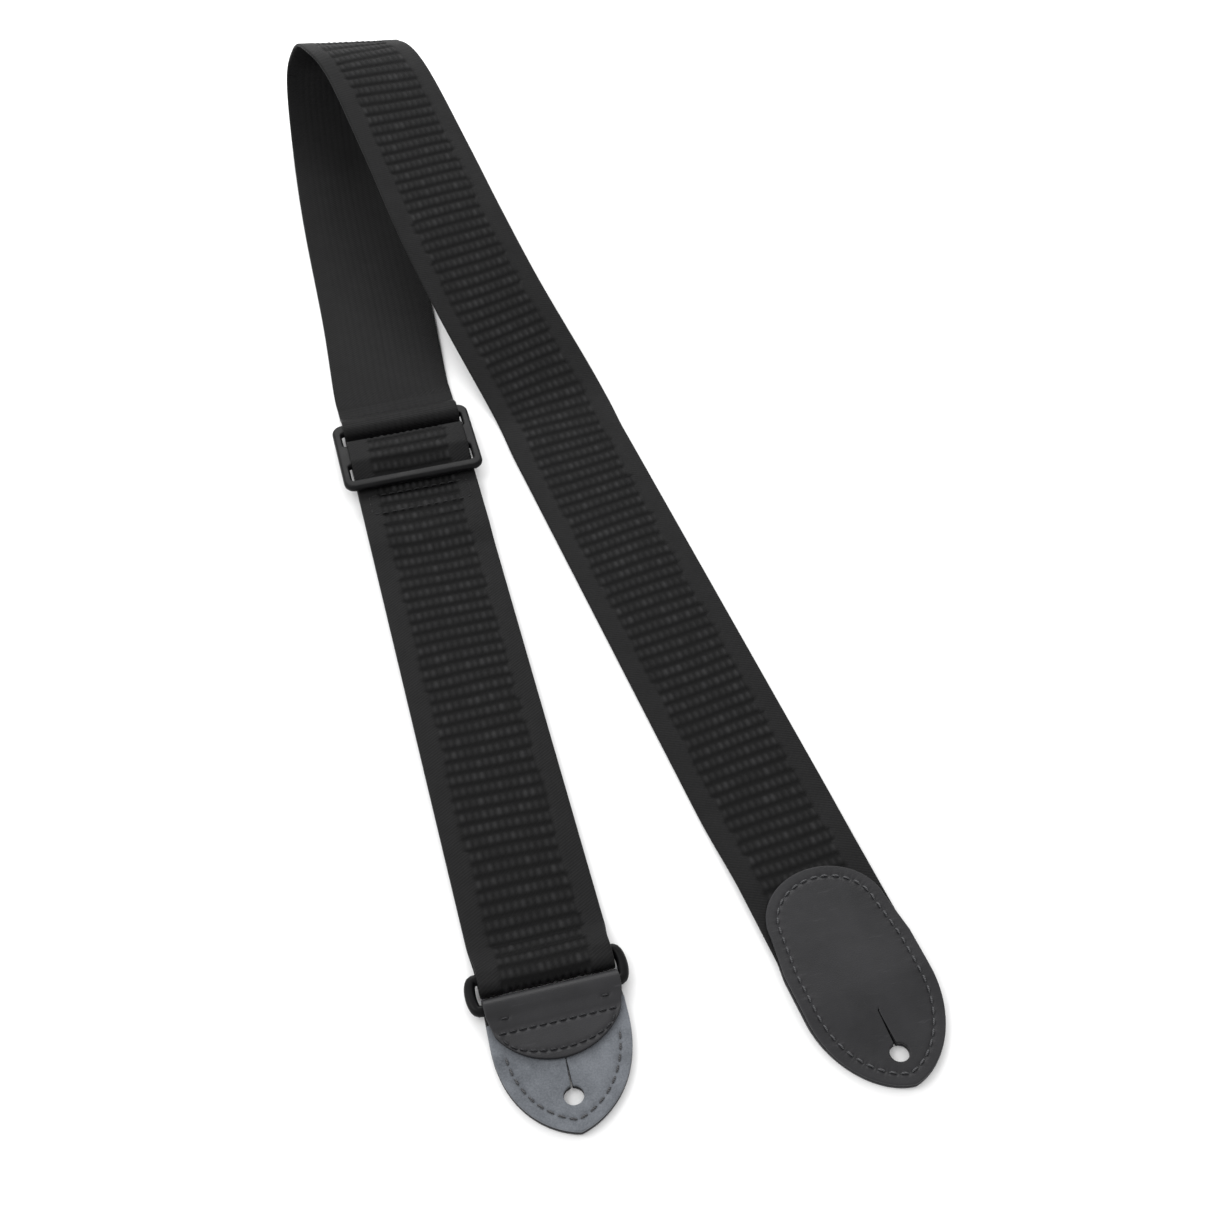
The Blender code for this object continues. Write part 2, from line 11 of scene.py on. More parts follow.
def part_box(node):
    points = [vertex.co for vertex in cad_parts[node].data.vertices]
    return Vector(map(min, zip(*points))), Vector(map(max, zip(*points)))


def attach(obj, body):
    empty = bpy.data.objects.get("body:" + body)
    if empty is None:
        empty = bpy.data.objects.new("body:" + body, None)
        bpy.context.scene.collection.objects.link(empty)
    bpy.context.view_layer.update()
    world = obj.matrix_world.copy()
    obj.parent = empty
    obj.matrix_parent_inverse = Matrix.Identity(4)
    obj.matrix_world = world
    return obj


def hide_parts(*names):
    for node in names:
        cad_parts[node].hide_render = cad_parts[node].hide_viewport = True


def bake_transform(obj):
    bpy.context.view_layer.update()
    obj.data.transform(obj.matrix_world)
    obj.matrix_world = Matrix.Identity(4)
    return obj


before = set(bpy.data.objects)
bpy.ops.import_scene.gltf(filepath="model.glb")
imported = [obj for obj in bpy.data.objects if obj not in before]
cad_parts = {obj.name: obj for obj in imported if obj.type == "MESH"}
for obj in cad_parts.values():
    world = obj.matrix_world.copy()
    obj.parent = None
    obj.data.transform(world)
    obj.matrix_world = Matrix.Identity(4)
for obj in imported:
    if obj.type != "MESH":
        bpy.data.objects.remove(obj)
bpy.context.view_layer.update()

MM = 0.001

# The strap's own sizes, in millimetres, as in the CAD model
WEB_HALF = 25.0
WEB_THICK = 1.5
LAYER = 1.8
FLOOR_Z = 0.75
LEATHER = 1.5
LINING = 1.4
PATCH = 1.4
LEATHER_HALF = 24.6

# The two pointed ends. PATCH_POINT is a fitting program's rounded result, and TAB_POINT was changed from one.
TAB_POINT = (2.2, 9.5, 12.5, 37.5)
PATCH_POINT = (2.1, 13.0, 17.6, 35.7)
TAB_TIP_Y = -0.7
TAB_LEAN = 0.038
TAB_LEAN_FROM_Y = 46.0
GAP = 0.3
TAB_HOLE_Y = 12.5
MOON_CORNER_Y = 39.5
MOON_APEX_Y = 26.0
RING_Y = 56.0
RING_LENGTH = 58.4
RING_X = -0.4
RING_DEPTH = 16.0
RING_BAR = 4.0
RING_BAR_OFFSET = (RING_DEPTH - RING_BAR) / 2
RING_STRAIGHT_HALF = 25.2
RING_WEB_HALF = 24.3
TURN_RADIUS = 3.05
RING_Z = FLOOR_Z + TURN_RADIUS
TURN_END_Y = 84.0
TURN_Y = 58.5
SLIDER_Y = 313.0
SLIDER_Z = 5.75
SLIDER_X = -0.4
SLIDER_WIDTH = 59.0
SLIDER_DEPTH = 40.0
SLIDER_THICK = 3.0
SLIDER_CORNER = 4.5
SLIDER_TILT = math.radians(5.0)
TOP_BAR = 6.0
BOTTOM_BAR = 5.0
CENTRE_BAR = 13.0
SLOT_HALF = 25.8
SLOT_CORNER = 0.8
BAR_EDGE = SLIDER_THICK / 2
PASS_RADIUS = 2.75
WRAP_END_Y = 274.0
TAIL_END_Y = 277.0
LEFT_RUN_START_Y = 345.0
LOOP_START_Y = 480.0
FAR_WALL_Z = 20.0
RUN_ANGLE = math.radians(8.0)
RUN_HOLE = (110.4, 0.0)
PATCH_TIP = 12.5
PATCH_TOP = 76.0
PATCH_TOP_HALF = 22.6
PATCH_CAP = 20.0
WEB_END = 27.0
HOLE_RADIUS = 3.5
SLIT_LENGTH = 13.0
TOUCH_DOWN_YS = (304.0, 292.0)

# The loop's middle line: x, y, z, and in degrees its turn about z and its fall to the right.
# These numbers weren't chosen by hand: a separate program fitted them to the loop's outline and rounded
# them to halves.
LOOP_ROUTE = (
    (0.0, 345.0, 0.75, 0.0, 0.0),
    (0.0, 356.0, 0.75, 0.0, 0.0),
    (2.5, 400.0, 0.75, -1.5, 0.0),
    (4.5, 465.0, 0.75, -2.5, 0.0),
    (7.5, 513.5, 3.0, -2.5, 1.5),
    (11.5, 546.5, 19.5, 0.0, 5.5),
    (16.5, 547.5, 37.5, 3.5, 9.5),
    (20.0, 535.0, 46.5, 6.5, 12.5),
    (27.5, 513.5, 46.0, 8.5, 12.0),
    (36.5, 465.0, 34.5, 9.5, 7.5),
    (43.0, 424.5, 25.5, 10.0, 3.0),
    (51.5, 382.5, 15.0, 9.5, 1.5),
    (64.0, 332.0, 2.0, 9.0, 0.0),
)

# The weave
RIB_PITCH = 5.7
RIB_ZONE = 17.3
BEAD_PITCH = 2.8
RIB_HEIGHT = 0.66
GROOVE_DEPTH = 0.52
RIDGE_HALF = 0.39
MARGIN_SHADE = 0.42
BACK_LINE_DEPTH = 0.12
EDGE_ROUND = 0.8
STEP = 0.8

# Stitching
STITCH_PITCH = 4.0
STITCH_LENGTH = 2.7
THREAD_RADIUS = 0.36
SEAM_INSET = 4.2
FLAP_FOLD_DEPTH = 0.28
FLAP_FOLD_HALF = 23.5
FLAP_DENTS_FROM = 62.0

# The floor, in metres, and the camera, in the strap's own millimetres
FLOOR_HALF = 4.0
FLOOR_DROP = 0.0003
CAMERA_PLACE = (-60.2, -261.6, 636.0)
CAMERA_DOWN = math.radians(52.38)
CAMERA_TURN = math.radians(-14.41)
CAMERA_LENS = 59.16

ring_low, ring_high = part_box("ring")
tab_low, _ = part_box("tab_leather")
ORIGIN = np.array([(ring_low.x + ring_high.x) / 2 - RING_X * MM, tab_low.y - TAB_TIP_Y * MM, 0.0])


def to_frame(points):
    """Points in the strap's own millimetres, as points of the row frame in metres."""
    return np.asarray(points, float) * MM + ORIGIN


# ---------------------------------------------------------------- materials


class Nodes:
    """A short way to write a material's node tree."""

    def __init__(self, name):
        self.material = bpy.data.materials.new(name)
        self.material.use_nodes = True
        self.tree = self.material.node_tree
        self.shader = self.tree.nodes["Principled BSDF"]

    def add(self, kind, **values):
        node = self.tree.nodes.new(kind)
        for key, value in values.items():
            setattr(node, key, value)
        return node

    def link(self, output, target):
        self.tree.links.new(output, target)

    def put(self, socket, value):
        """Feed a socket from another socket or from a plain value."""
        if isinstance(value, bpy.types.NodeSocket):
            self.link(value, socket)
        else:
            socket.default_value = value

    def maths(self, operation, a, b=0.0, clamp=False):
        node = self.add("ShaderNodeMath", operation=operation, use_clamp=clamp)
        self.put(node.inputs[0], a)
        self.put(node.inputs[1], b)
        return node.outputs[0]

    def noise(self, where, scale, detail=3.0, roughness=0.6):
        node = self.add("ShaderNodeTexNoise")
        self.put(node.inputs["Vector"], where)
        node.inputs["Scale"].default_value = scale
        node.inputs["Detail"].default_value = detail
        node.inputs["Roughness"].default_value = roughness
        return node.outputs["Fac"]

    def cells(self, where, scale):
        node = self.add("ShaderNodeTexVoronoi", feature="DISTANCE_TO_EDGE")
        self.put(node.inputs["Vector"], where)
        node.inputs["Scale"].default_value = scale
        return node.outputs["Distance"]

    def spread(self, value, low, high, to_low, to_high):
        node = self.add("ShaderNodeMapRange")
        for index, item in enumerate((value, low, high, to_low, to_high)):
            self.put(node.inputs[index], item)
        return node.outputs[0]

    def blend(self, factor, dark, light):
        node = self.add("ShaderNodeMix", data_type="RGBA")
        self.put(node.inputs[0], factor)
        self.put(node.inputs[6], (*dark, 1.0) if isinstance(dark, tuple) else dark)
        self.put(node.inputs[7], (*light, 1.0) if isinstance(light, tuple) else light)
        return node.outputs[2]

    def attribute(self, name):
        return self.add("ShaderNodeAttribute", attribute_name=name).outputs["Fac"]

    def own_place(self):
        return self.add("ShaderNodeTexCoord").outputs["Object"]

    def bump(self, height, distance, strength=1.0, below=None):
        node = self.add("ShaderNodeBump")
        node.inputs["Distance"].default_value = distance
        node.inputs["Strength"].default_value = strength
        self.link(height, node.inputs["Height"])
        if below is not None:
            self.link(below, node.inputs["Normal"])
        return node.outputs["Normal"]

    def finish(self, colour, roughness, normal=None, specular=0.5, sheen=0.0):
        self.put(self.shader.inputs["Base Color"], colour)
        self.put(self.shader.inputs["Roughness"], roughness)
        self.shader.inputs["Specular IOR Level"].default_value = specular
        self.shader.inputs["Sheen Weight"].default_value = sheen
        self.shader.inputs["Sheen Roughness"].default_value = 0.6
        if normal is not None:
            self.link(normal, self.shader.inputs["Normal"])
        return self.material


def webbing_material():
    """Black woven yarn: fine twill in the margins and on the back, lengthwise filaments on the beads, and
    painted highlights and shade from the relief attribute.
    """
    m = Nodes("webbing_yarn")
    place = m.add("ShaderNodeUVMap", uv_map="weave").outputs["UV"]
    split = m.add("ShaderNodeSeparateXYZ")
    m.link(place, split.inputs[0])
    across = m.maths("MULTIPLY", split.outputs[0], 100.0)
    along = m.maths("MULTIPLY", split.outputs[1], 100.0)
    relief = m.attribute("relief")
    ribbed = m.attribute("ribbed")

    def wave(value, pitch):
        return m.maths("SINE", m.maths("MULTIPLY", value, 2 * math.pi / pitch))

    twill = m.maths("MULTIPLY", wave(m.maths("ADD", across, along), 1.25), wave(across, 0.8))
    filaments = wave(across, 0.47)
    plain = m.maths("SUBTRACT", 1.0, ribbed)
    fine = m.maths("ADD", m.maths("MULTIPLY", twill, plain), m.maths("MULTIPLY", filaments, ribbed))
    normal = m.bump(fine, 0.00008, 0.8)
    patches = m.noise(place, 9.0, 4.0)
    fuzz = m.noise(place, 95.0, 5.0, 0.8)
    # Painted light and shade: the relief attribute lights the bead tops and darkens the grooves, varied at
    # random by the patches and fuzz.
    light = m.maths("MULTIPLY", m.maths("POWER", relief, 1.4), m.spread(patches, 0.3, 0.7, 0.65, 1.05))
    light = m.maths("ADD", light, m.maths("MULTIPLY", m.maths("SUBTRACT", fuzz, 0.5), 0.7), clamp=True)
    colour = m.blend(light, (0.001, 0.001, 0.0011), (0.02, 0.0198, 0.0205))
    rough = m.spread(fuzz, 0.3, 0.7, 0.5, 0.66)
    return m.finish(colour, rough, normal, 0.12)


def leather_material(name, dark, light, rough_low, rough_high, grain=0.00004, grain_scale=1300.0):
    """Smooth leather with fine grain cells, soft colour patches and faint scuffs."""
    m = Nodes(name)
    place = m.own_place()
    cells = m.cells(place, grain_scale)
    pores = m.noise(place, 2400.0, 2.0)
    broad = m.noise(place, 45.0, 4.0)
    stretched = m.add("ShaderNodeMapping")
    stretched.inputs["Rotation"].default_value = (0.0, 0.0, 0.6)
    stretched.inputs["Scale"].default_value = (1.0, 6.0, 1.0)
    m.link(place, stretched.inputs["Vector"])
    scuffs = m.noise(stretched.outputs[0], 60.0, 5.0, 0.7)
    marks = m.spread(scuffs, 0.62, 0.72, 0.0, 0.5)
    mixed = m.maths("ADD", m.maths("MULTIPLY", broad, 0.9), marks, clamp=True)
    colour = m.blend(m.spread(mixed, 0.3, 0.95, 0.0, 1.0), dark, light)
    rough = m.spread(m.maths("ADD", broad, m.maths("MULTIPLY", marks, 0.3)), 0.3, 0.9, rough_low, rough_high)
    height = m.maths("ADD", m.spread(cells, 0.0, 0.25, 0.0, 1.0), m.maths("MULTIPLY", pores, 0.35))
    return m.finish(colour, rough, m.bump(height, grain, 0.7), 0.27)


def suede_material():
    """Grey leather with its rough flesh side out: short nap, mottled, with a soft sheen."""
    m = Nodes("grey_suede")
    place = m.own_place()
    nap = m.noise(place, 1500.0, 5.0, 0.75)
    mottle = m.noise(place, 120.0, 5.0, 0.65)
    brushed = m.noise(place, 35.0, 2.0)
    value = m.maths("ADD", m.maths("MULTIPLY", nap, 0.45), m.maths("MULTIPLY", mottle, 0.4))
    value = m.maths("ADD", value, m.maths("MULTIPLY", brushed, 0.25))
    colour = m.blend(m.spread(value, 0.35, 0.75, 0.0, 1.0), (0.055, 0.06, 0.068), (0.18, 0.192, 0.212))
    return m.finish(colour, 0.95, m.bump(nap, 0.00025, 0.8), 0.1, 0.1)


def plastic_material():
    """Black moulded plastic with a satin skin and faint rubbing."""
    m = Nodes("moulded_plastic")
    place = m.own_place()
    skin = m.noise(place, 1800.0, 2.0)
    wear = m.noise(place, 90.0, 5.0, 0.7)
    colour = m.blend(m.spread(wear, 0.35, 0.75, 0.0, 1.0), (0.002, 0.002, 0.0022), (0.006, 0.006, 0.0066))
    rough = m.spread(wear, 0.3, 0.7, 0.34, 0.48)
    return m.finish(colour, rough, m.bump(skin, 0.00002, 0.5), 0.1)


def thread_material(name, dark, light):
    """Waxed thread of two twisted plies."""
    m = Nodes(name)
    place = m.own_place()
    twist = m.add("ShaderNodeTexWave", wave_type="BANDS", bands_direction="DIAGONAL")
    twist.inputs["Scale"].default_value = 600.0
    m.link(place, twist.inputs["Vector"])
    fuzz = m.noise(place, 2500.0, 2.0)
    colour = m.blend(twist.outputs["Fac"], dark, light)
    rough = m.spread(fuzz, 0.3, 0.7, 0.45, 0.65)
    return m.finish(colour, rough, m.bump(twist.outputs["Fac"], 0.00008, 0.7), 0.25)


YARN = webbing_material()
BLACK_LEATHER = leather_material("black_leather", (0.009, 0.009, 0.0102), (0.025, 0.0245, 0.027), 0.42, 0.6)
SUEDE = suede_material()
PLASTIC = plastic_material()
THREAD = thread_material("waxed_thread", (0.006, 0.006, 0.007), (0.03, 0.03, 0.033))
# A lighter thread for the patch and tab border stitches: its colour is a painted highlight for the light the
# stitches catch.
HIGHLIGHT_PAINTED_THREAD = thread_material("highlight_painted_thread", (0.03, 0.03, 0.032), (0.085, 0.085, 0.09))
WEB_THREAD = thread_material("webbing_thread", (0.002, 0.002, 0.002), (0.009, 0.009, 0.01))


# ---------------------------------------------------------------- meshes


def enclosed(points, faces):
    """Six times the volume inside closed faces; negative if they are inside out."""
    total = 0.0
    for block in faces:
        corners = points[block]
        for k in range(1, block.shape[1] - 1):
            total += np.einsum("ij,ij->", corners[:, 0], np.cross(corners[:, k], corners[:, k + 1]))
    return total


def add_mesh(name, points, faces, surface, sharp=70.0):
    """A smooth-shaded closed mesh from points in metres and blocks of triangles or quads."""
    faces = [np.asarray(block, np.int64) for block in faces]
    if enclosed(points - points.mean(0), faces) < 0:
        faces = [block[:, ::-1] for block in faces]
    mesh = bpy.data.meshes.new(name)
    sizes = np.concatenate([np.full(len(block), block.shape[1]) for block in faces])
    flat = np.concatenate([block.ravel() for block in faces]).astype(np.int32)
    mesh.vertices.add(len(points))
    mesh.vertices.foreach_set("co", np.asarray(points, np.float32).ravel())
    mesh.loops.add(len(flat))
    mesh.loops.foreach_set("vertex_index", flat)
    mesh.polygons.add(len(sizes))
    starts = np.concatenate([[0], np.cumsum(sizes)[:-1]]).astype(np.int32)
    mesh.polygons.foreach_set("loop_start", starts)
    mesh.update(calc_edges=True)
    mesh.shade_smooth()
    mesh.set_sharp_from_angle(angle=math.radians(sharp))
    mesh.materials.append(surface)
    obj = bpy.data.objects.new(name, mesh)
    bpy.context.scene.collection.objects.link(obj)
    return obj


def number_attribute(obj, name, values):
    layer = obj.data.attributes.new(name, "FLOAT", "POINT")
    layer.data.foreach_set("value", np.asarray(values, np.float32).ravel())


def lengths(points):
    """Distance along a polyline at each of its points."""
    steps = np.linalg.norm(np.diff(points, axis=0), axis=1)
    return np.concatenate([[0.0], np.cumsum(steps)])


def smooth(share):
    """Shares from 0 to 1, eased at both ends."""
    return share * share * (3 - 2 * share)


def unit(vectors):
    return vectors / np.linalg.norm(vectors, axis=1)[:, None]


def at_lengths(points, reach, wanted):
    return np.stack([np.interp(wanted, reach, points[:, k]) for k in range(points.shape[1])], 1)


def evenly(rows, step, smoothing=3):
    """Rows (left x, y, z, right x, y, z) at even steps of the middle line, with their corners softened."""
    middle = (rows[:, :3] + rows[:, 3:]) / 2
    reach = lengths(middle)
    count = max(int(math.ceil(reach[-1] / step)), 2)
    wanted = np.linspace(0.0, reach[-1], count + 1)
    even = at_lengths(rows, reach, wanted)
    for _ in range(smoothing):
        even[1:-1] = (even[:-2] + 2 * even[1:-1] + even[2:]) / 4
    return even


def web_columns():
    """Places across the webbing's width: close together at the rounded edges and over the beads."""
    edge = [25.0, 24.93, 24.75, 24.4, 23.9]
    margin = list(np.arange(23.0, RIB_ZONE + 0.7, -0.9))
    ribbed = list(np.arange(RIB_ZONE, 0.0, -BEAD_PITCH / 5))
    half = edge + margin + ribbed
    return np.array([-x for x in half] + [0.0] + half[::-1])


def scatter(a, b):
    """An even, repeatable spread of numbers from 0 to 1 for whole numbers a and b."""
    return np.modf(np.abs(np.sin(a * 12.9898 + b * 78.233) * 43758.5453))[0]


def rib_relief(u, s):
    """Height of the ribbed face at u across and s along, how ribbed it is, 0 to 1, and its brightness:
    painted highlights on the bead tops, painted shade in the grooves between ribs and between beads, and an
    even tone in the plain margins.
    """
    wander = 0.28 * np.sin(s / 17.0 + u / 9.0) + 0.22 * np.sin(s / 41.0 - u / 14.0 + 1.3)
    run = (s + wander) / RIB_PITCH
    rib = np.floor(run)
    bead = np.floor(u / BEAD_PITCH)
    ridge = np.sqrt(np.clip(1.0 - ((run - rib - 0.5) / RIDGE_HALF) ** 2, 0.0, 1.0))
    gaps = np.sin(math.pi * u / BEAD_PITCH) ** 2
    loose = scatter(rib, bead)
    ragged = 1.5 * (scatter(rib, np.sign(u) * 3.0) - 0.5)
    zone = smooth(np.clip((RIB_ZONE + 0.4 + ragged - np.abs(u)) / 1.6, 0.0, 1.0))
    shape = ridge * (0.8 + 0.2 * loose) * (0.4 + 0.6 * gaps)
    # Painted light: the bead tops are painted bright, most at the ridge's middle and more on some beads at
    # random, and the grooves and gaps between beads are painted dark.
    shade = ridge**2 * (0.42 + 0.58 * gaps) * (0.7 + 0.6 * loose**2)
    return zone * (RIB_HEIGHT * shape - GROOVE_DEPTH), zone, zone * shade + (1 - zone) * MARGIN_SHADE


def back_relief(u):
    """Height and brightness of the smooth back face at u across, with its fine lengthwise lines; the
    brightness is lower in the lines' grooves, a painted shade.
    """
    line = np.sqrt(np.abs(np.sin(math.pi * u / BEAD_PITCH)))
    inner = np.clip((RIB_ZONE + 3.0 - np.abs(u)) / 2.0, 0.0, 1.0)
    # Painted shade: the brightness drops in the grooves of the lengthwise lines.
    return BACK_LINE_DEPTH * (line - 1.0) * inner, 0.18 + 0.2 * line * inner + 0.12 * (1 - inner)


def strip_faces(n, m):
    """The faces of a closed strip of n rows by m columns, whose two sides share their edge columns."""
    top_index = np.arange(n * m).reshape(n, m)
    under_index = np.empty((n, m), int)
    under_index[:, 0], under_index[:, -1] = top_index[:, 0], top_index[:, -1]
    under_index[:, 1:-1] = n * m + np.arange(n * (m - 2)).reshape(n, m - 2)

    def quads(index):
        a, b, c, d = index[:-1, :-1], index[:-1, 1:], index[1:, 1:], index[1:, :-1]
        return np.stack([x.ravel() for x in (a, b, c, d)], 1)

    faces = [quads(top_index), quads(under_index)[:, ::-1]]
    for row, order in ((0, -1), (-1, 1)):
        upper, lower = top_index[row], under_index[row]
        ring = np.stack([upper[:-1], upper[1:], lower[1:], lower[:-1]], 1)[:, ::order]
        faces.append(ring[1:-1])
        faces.append(np.array([list(dict.fromkeys(ring[k])) for k in (0, -1)]))
    return faces


def weave(name, rows, face, start=0.0, step=STEP, smoothing=3):
    """A closed strip of webbing along rows. face is 1 or -1 for the side that the ribs are on."""
    even = evenly(rows, step, smoothing)
    left, right = even[:, :3], even[:, 3:]
    middle = (left + right) / 2
    along = unit(np.gradient(middle, axis=0))
    across = right - left
    width = np.linalg.norm(across, axis=1)
    across /= width[:, None]
    outward = np.cross(across, along)
    outward *= face / np.linalg.norm(outward, axis=1)[:, None]
    reach = start + lengths(middle)
    columns = web_columns()
    u = np.broadcast_to(columns, (len(middle), len(columns)))
    s = np.broadcast_to(reach[:, None], u.shape)
    near_edge = ((np.abs(u) - (WEB_HALF - EDGE_ROUND)) / EDGE_ROUND).clip(0, 1)
    body = WEB_THICK / 2 * np.sqrt(np.clip(1 - near_edge**2, 0, 1))
    ribs, ribbed, lit = rib_relief(u, s)
    lines, back_lit = back_relief(u)
    scale = (width / (2 * WEB_HALF))[:, None]
    base = middle[:, None, :] + across[:, None, :] * (u * scale)[..., None]
    top = base + outward[:, None, :] * (body + ribs)[..., None]
    under = base - outward[:, None, :] * (body + lines)[..., None]
    points = np.concatenate([top.reshape(-1, 3), under[:, 1:-1].reshape(-1, 3)])
    obj = add_mesh(name, to_frame(points), strip_faces(*u.shape), YARN, 75.0)
    inside = (slice(None), slice(1, -1))
    # The relief attribute carries painted light: highlights on the bead tops and shade in the grooves of both
    # faces.
    number_attribute(obj, "relief", np.concatenate([lit.ravel(), back_lit[inside].ravel()]))
    number_attribute(obj, "ribbed", np.concatenate([ribbed.ravel(), np.zeros(u[inside].size)]))
    place = np.concatenate([np.stack([x.ravel(), y.ravel()], 1) for x, y in ((u, s), (u[inside], s[inside]))])
    loops = np.empty(len(obj.data.loops), np.int32)
    obj.data.loops.foreach_get("vertex_index", loops)
    layer = obj.data.uv_layers.new(name="weave")
    layer.data.foreach_set("uv", (place[loops] / 100.0).astype(np.float32).ravel())
    long = float(reach[-1] - reach[0]) * MM
    return obj, long


def arc(centre_y, centre_z, radius, start, end, steps):
    angles = np.radians(np.linspace(start, end, steps + 1))
    return [(centre_y + radius * math.cos(a), centre_z + radius * math.sin(a)) for a in angles]


def straight_rows(profile, half=WEB_HALF):
    return np.array([(-half, y, z, half, y, z) for y, z in profile])


def spline_point(p0, p1, p2, p3, t):
    square = 2 * p0 - 5 * p1 + 4 * p2 - p3
    cube = 3 * p1 - p0 - 3 * p2 + p3
    return 0.5 * (2 * p1 + (p2 - p0) * t + square * t * t + cube * t**3)


def route_rows(per_span=24):
    """The loop's rows from the slider, over the top and down to the right run's straight stretch."""
    lean, turn = math.tan(RUN_ANGLE), math.degrees(RUN_ANGLE)
    tail = [(RUN_HOLE[0] - y * lean, y, FLOOR_Z, turn, 0.0) for y in TOUCH_DOWN_YS]
    route = np.array([*LOOP_ROUTE, *tail])
    knots = np.vstack([2 * route[0] - route[1], route, 2 * route[-1] - route[-2]])
    samples = []
    for i in range(1, len(knots) - 2):
        for step in range(per_span):
            samples.append(spline_point(*knots[i - 1 : i + 3], step / per_span))
    samples = np.array([*samples, route[-1]])
    turned, dropped = np.radians(samples[:, 3]), np.radians(samples[:, 4])
    middle = samples[:, :3].copy()
    middle[:, 2] = np.maximum(middle[:, 2], FLOOR_Z + WEB_HALF * np.abs(np.sin(dropped)))
    along = unit(np.gradient(middle, axis=0))
    across = np.stack([np.cos(turned), np.sin(turned), -np.tan(dropped)], 1)
    across -= along * (across * along).sum(1)[:, None]
    across *= WEB_HALF / np.linalg.norm(across, axis=1)[:, None]
    return np.hstack([middle - across, middle + across])


def run_point(across, along, z):
    """A point of the right run: across its width and along its axis from the button hole, tip positive."""
    x = RUN_HOLE[0] + math.cos(RUN_ANGLE) * across + math.sin(RUN_ANGLE) * along
    y = RUN_HOLE[1] + math.sin(RUN_ANGLE) * across - math.cos(RUN_ANGLE) * along
    return np.stack(np.broadcast_arrays(x, y, z), -1)


def shoulder_rows(first_along):
    """The right run's rows on the surface, up on to the patch's back face and on to the webbing's end."""
    lift = PATCH + GAP
    alongs = np.concatenate([[first_along], np.linspace(-PATCH_TOP - 45.0, -PATCH_TOP + 2.0, 30), [-WEB_END]])
    climb = smooth(np.clip((alongs + PATCH_TOP + 38.0) / 38.0, 0.0, 1.0))
    z = FLOOR_Z + lift * climb
    half = WEB_HALF - 0.8 * climb
    return np.hstack([run_point(-half, alongs, z), run_point(half, alongs, z)])


def slider_offset(distance):
    return SLIDER_Y + distance * math.cos(SLIDER_TILT), SLIDER_Z - distance * math.sin(SLIDER_TILT)


def build_running_webbing():
    """The webbing from the slider to the patch, in three lengths that meet where the bodies change."""
    rows = route_rows()
    middle_y = (rows[:, 1] + rows[:, 4]) / 2
    middle_z = (rows[:, 2] + rows[:, 5]) / 2
    first = int(np.argmax(middle_y >= LOOP_START_Y))
    second = int(np.argmax(middle_z >= FAR_WALL_Z))
    reach = lengths((rows[:, :3] + rows[:, 3:]) / 2)
    left, left_long = weave("left_run", rows[: first + 1], -1)
    low, low_long = weave("loop_foot", rows[first : second + 1], -1, reach[first])
    last = (rows[-1, :3] + rows[-1, 3:]) / 2
    start_along = -math.hypot(RUN_HOLE[0] - last[0], RUN_HOLE[1] - last[1])
    upper_rows = np.vstack([rows[second:], shoulder_rows(start_along)[1:]])
    upper, upper_long = weave("shoulder_run", upper_rows, -1, reach[second])
    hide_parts("webbing_left_run")
    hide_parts("webbing_top_loop")
    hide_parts("webbing_top_loop", "webbing_shoulder_run")
    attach(low, "strap")
    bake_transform(left)
    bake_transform(upper)


def build_slider_webbing():
    """The running layer over the top bar and through its slot, and the end folded round the centre bar."""
    outer_y, outer_z = slider_offset(SLIDER_DEPTH / 2 - BAR_EDGE)
    inner_y, inner_z = slider_offset(SLIDER_DEPTH / 2 - TOP_BAR + BAR_EDGE)
    over = [(LEFT_RUN_START_Y, FLOOR_Z), (outer_y + 7.5, FLOOR_Z + 0.9)]
    over += arc(outer_y, outer_z, PASS_RADIUS, 52, 85, 8)
    over += arc(inner_y, inner_z, PASS_RADIUS, 85, 163, 16)
    over += arc(inner_y - PASS_RADIUS - 2.6, FLOOR_Z + 2.0, 2.0, -17, -90, 10)
    over += [(SLIDER_Y - 2.0, FLOOR_Z)]
    passed, pass_long = weave("slider_pass", straight_rows(over), 1, step=0.5)
    tail_z = FLOOR_Z + LAYER
    return_z = tail_z + LAYER
    bar_y, bar_z = slider_offset(CENTRE_BAR / 2 - BAR_EDGE)
    low_y, low_z = slider_offset(-CENTRE_BAR / 2 + BAR_EDGE)
    wrap = [(WRAP_END_Y, return_z), (SLIDER_Y - 15.0, return_z)]
    wrap += arc(low_y, low_z, PASS_RADIUS, 115, 95, 6)
    wrap += arc(bar_y, bar_z, PASS_RADIUS, 85, -90, 28)
    wrap += [(SLIDER_Y - 5.0, tail_z), (TAIL_END_Y, tail_z)]
    wrapped, wrap_long = weave("bar_wrap", straight_rows(wrap), 1, 1.0, step=0.5)
    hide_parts("webbing_slider_pass")
    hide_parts("webbing_bar_wrap")
    for obj, long in ((passed, pass_long), (wrapped, wrap_long)):
        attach(obj, "slider")


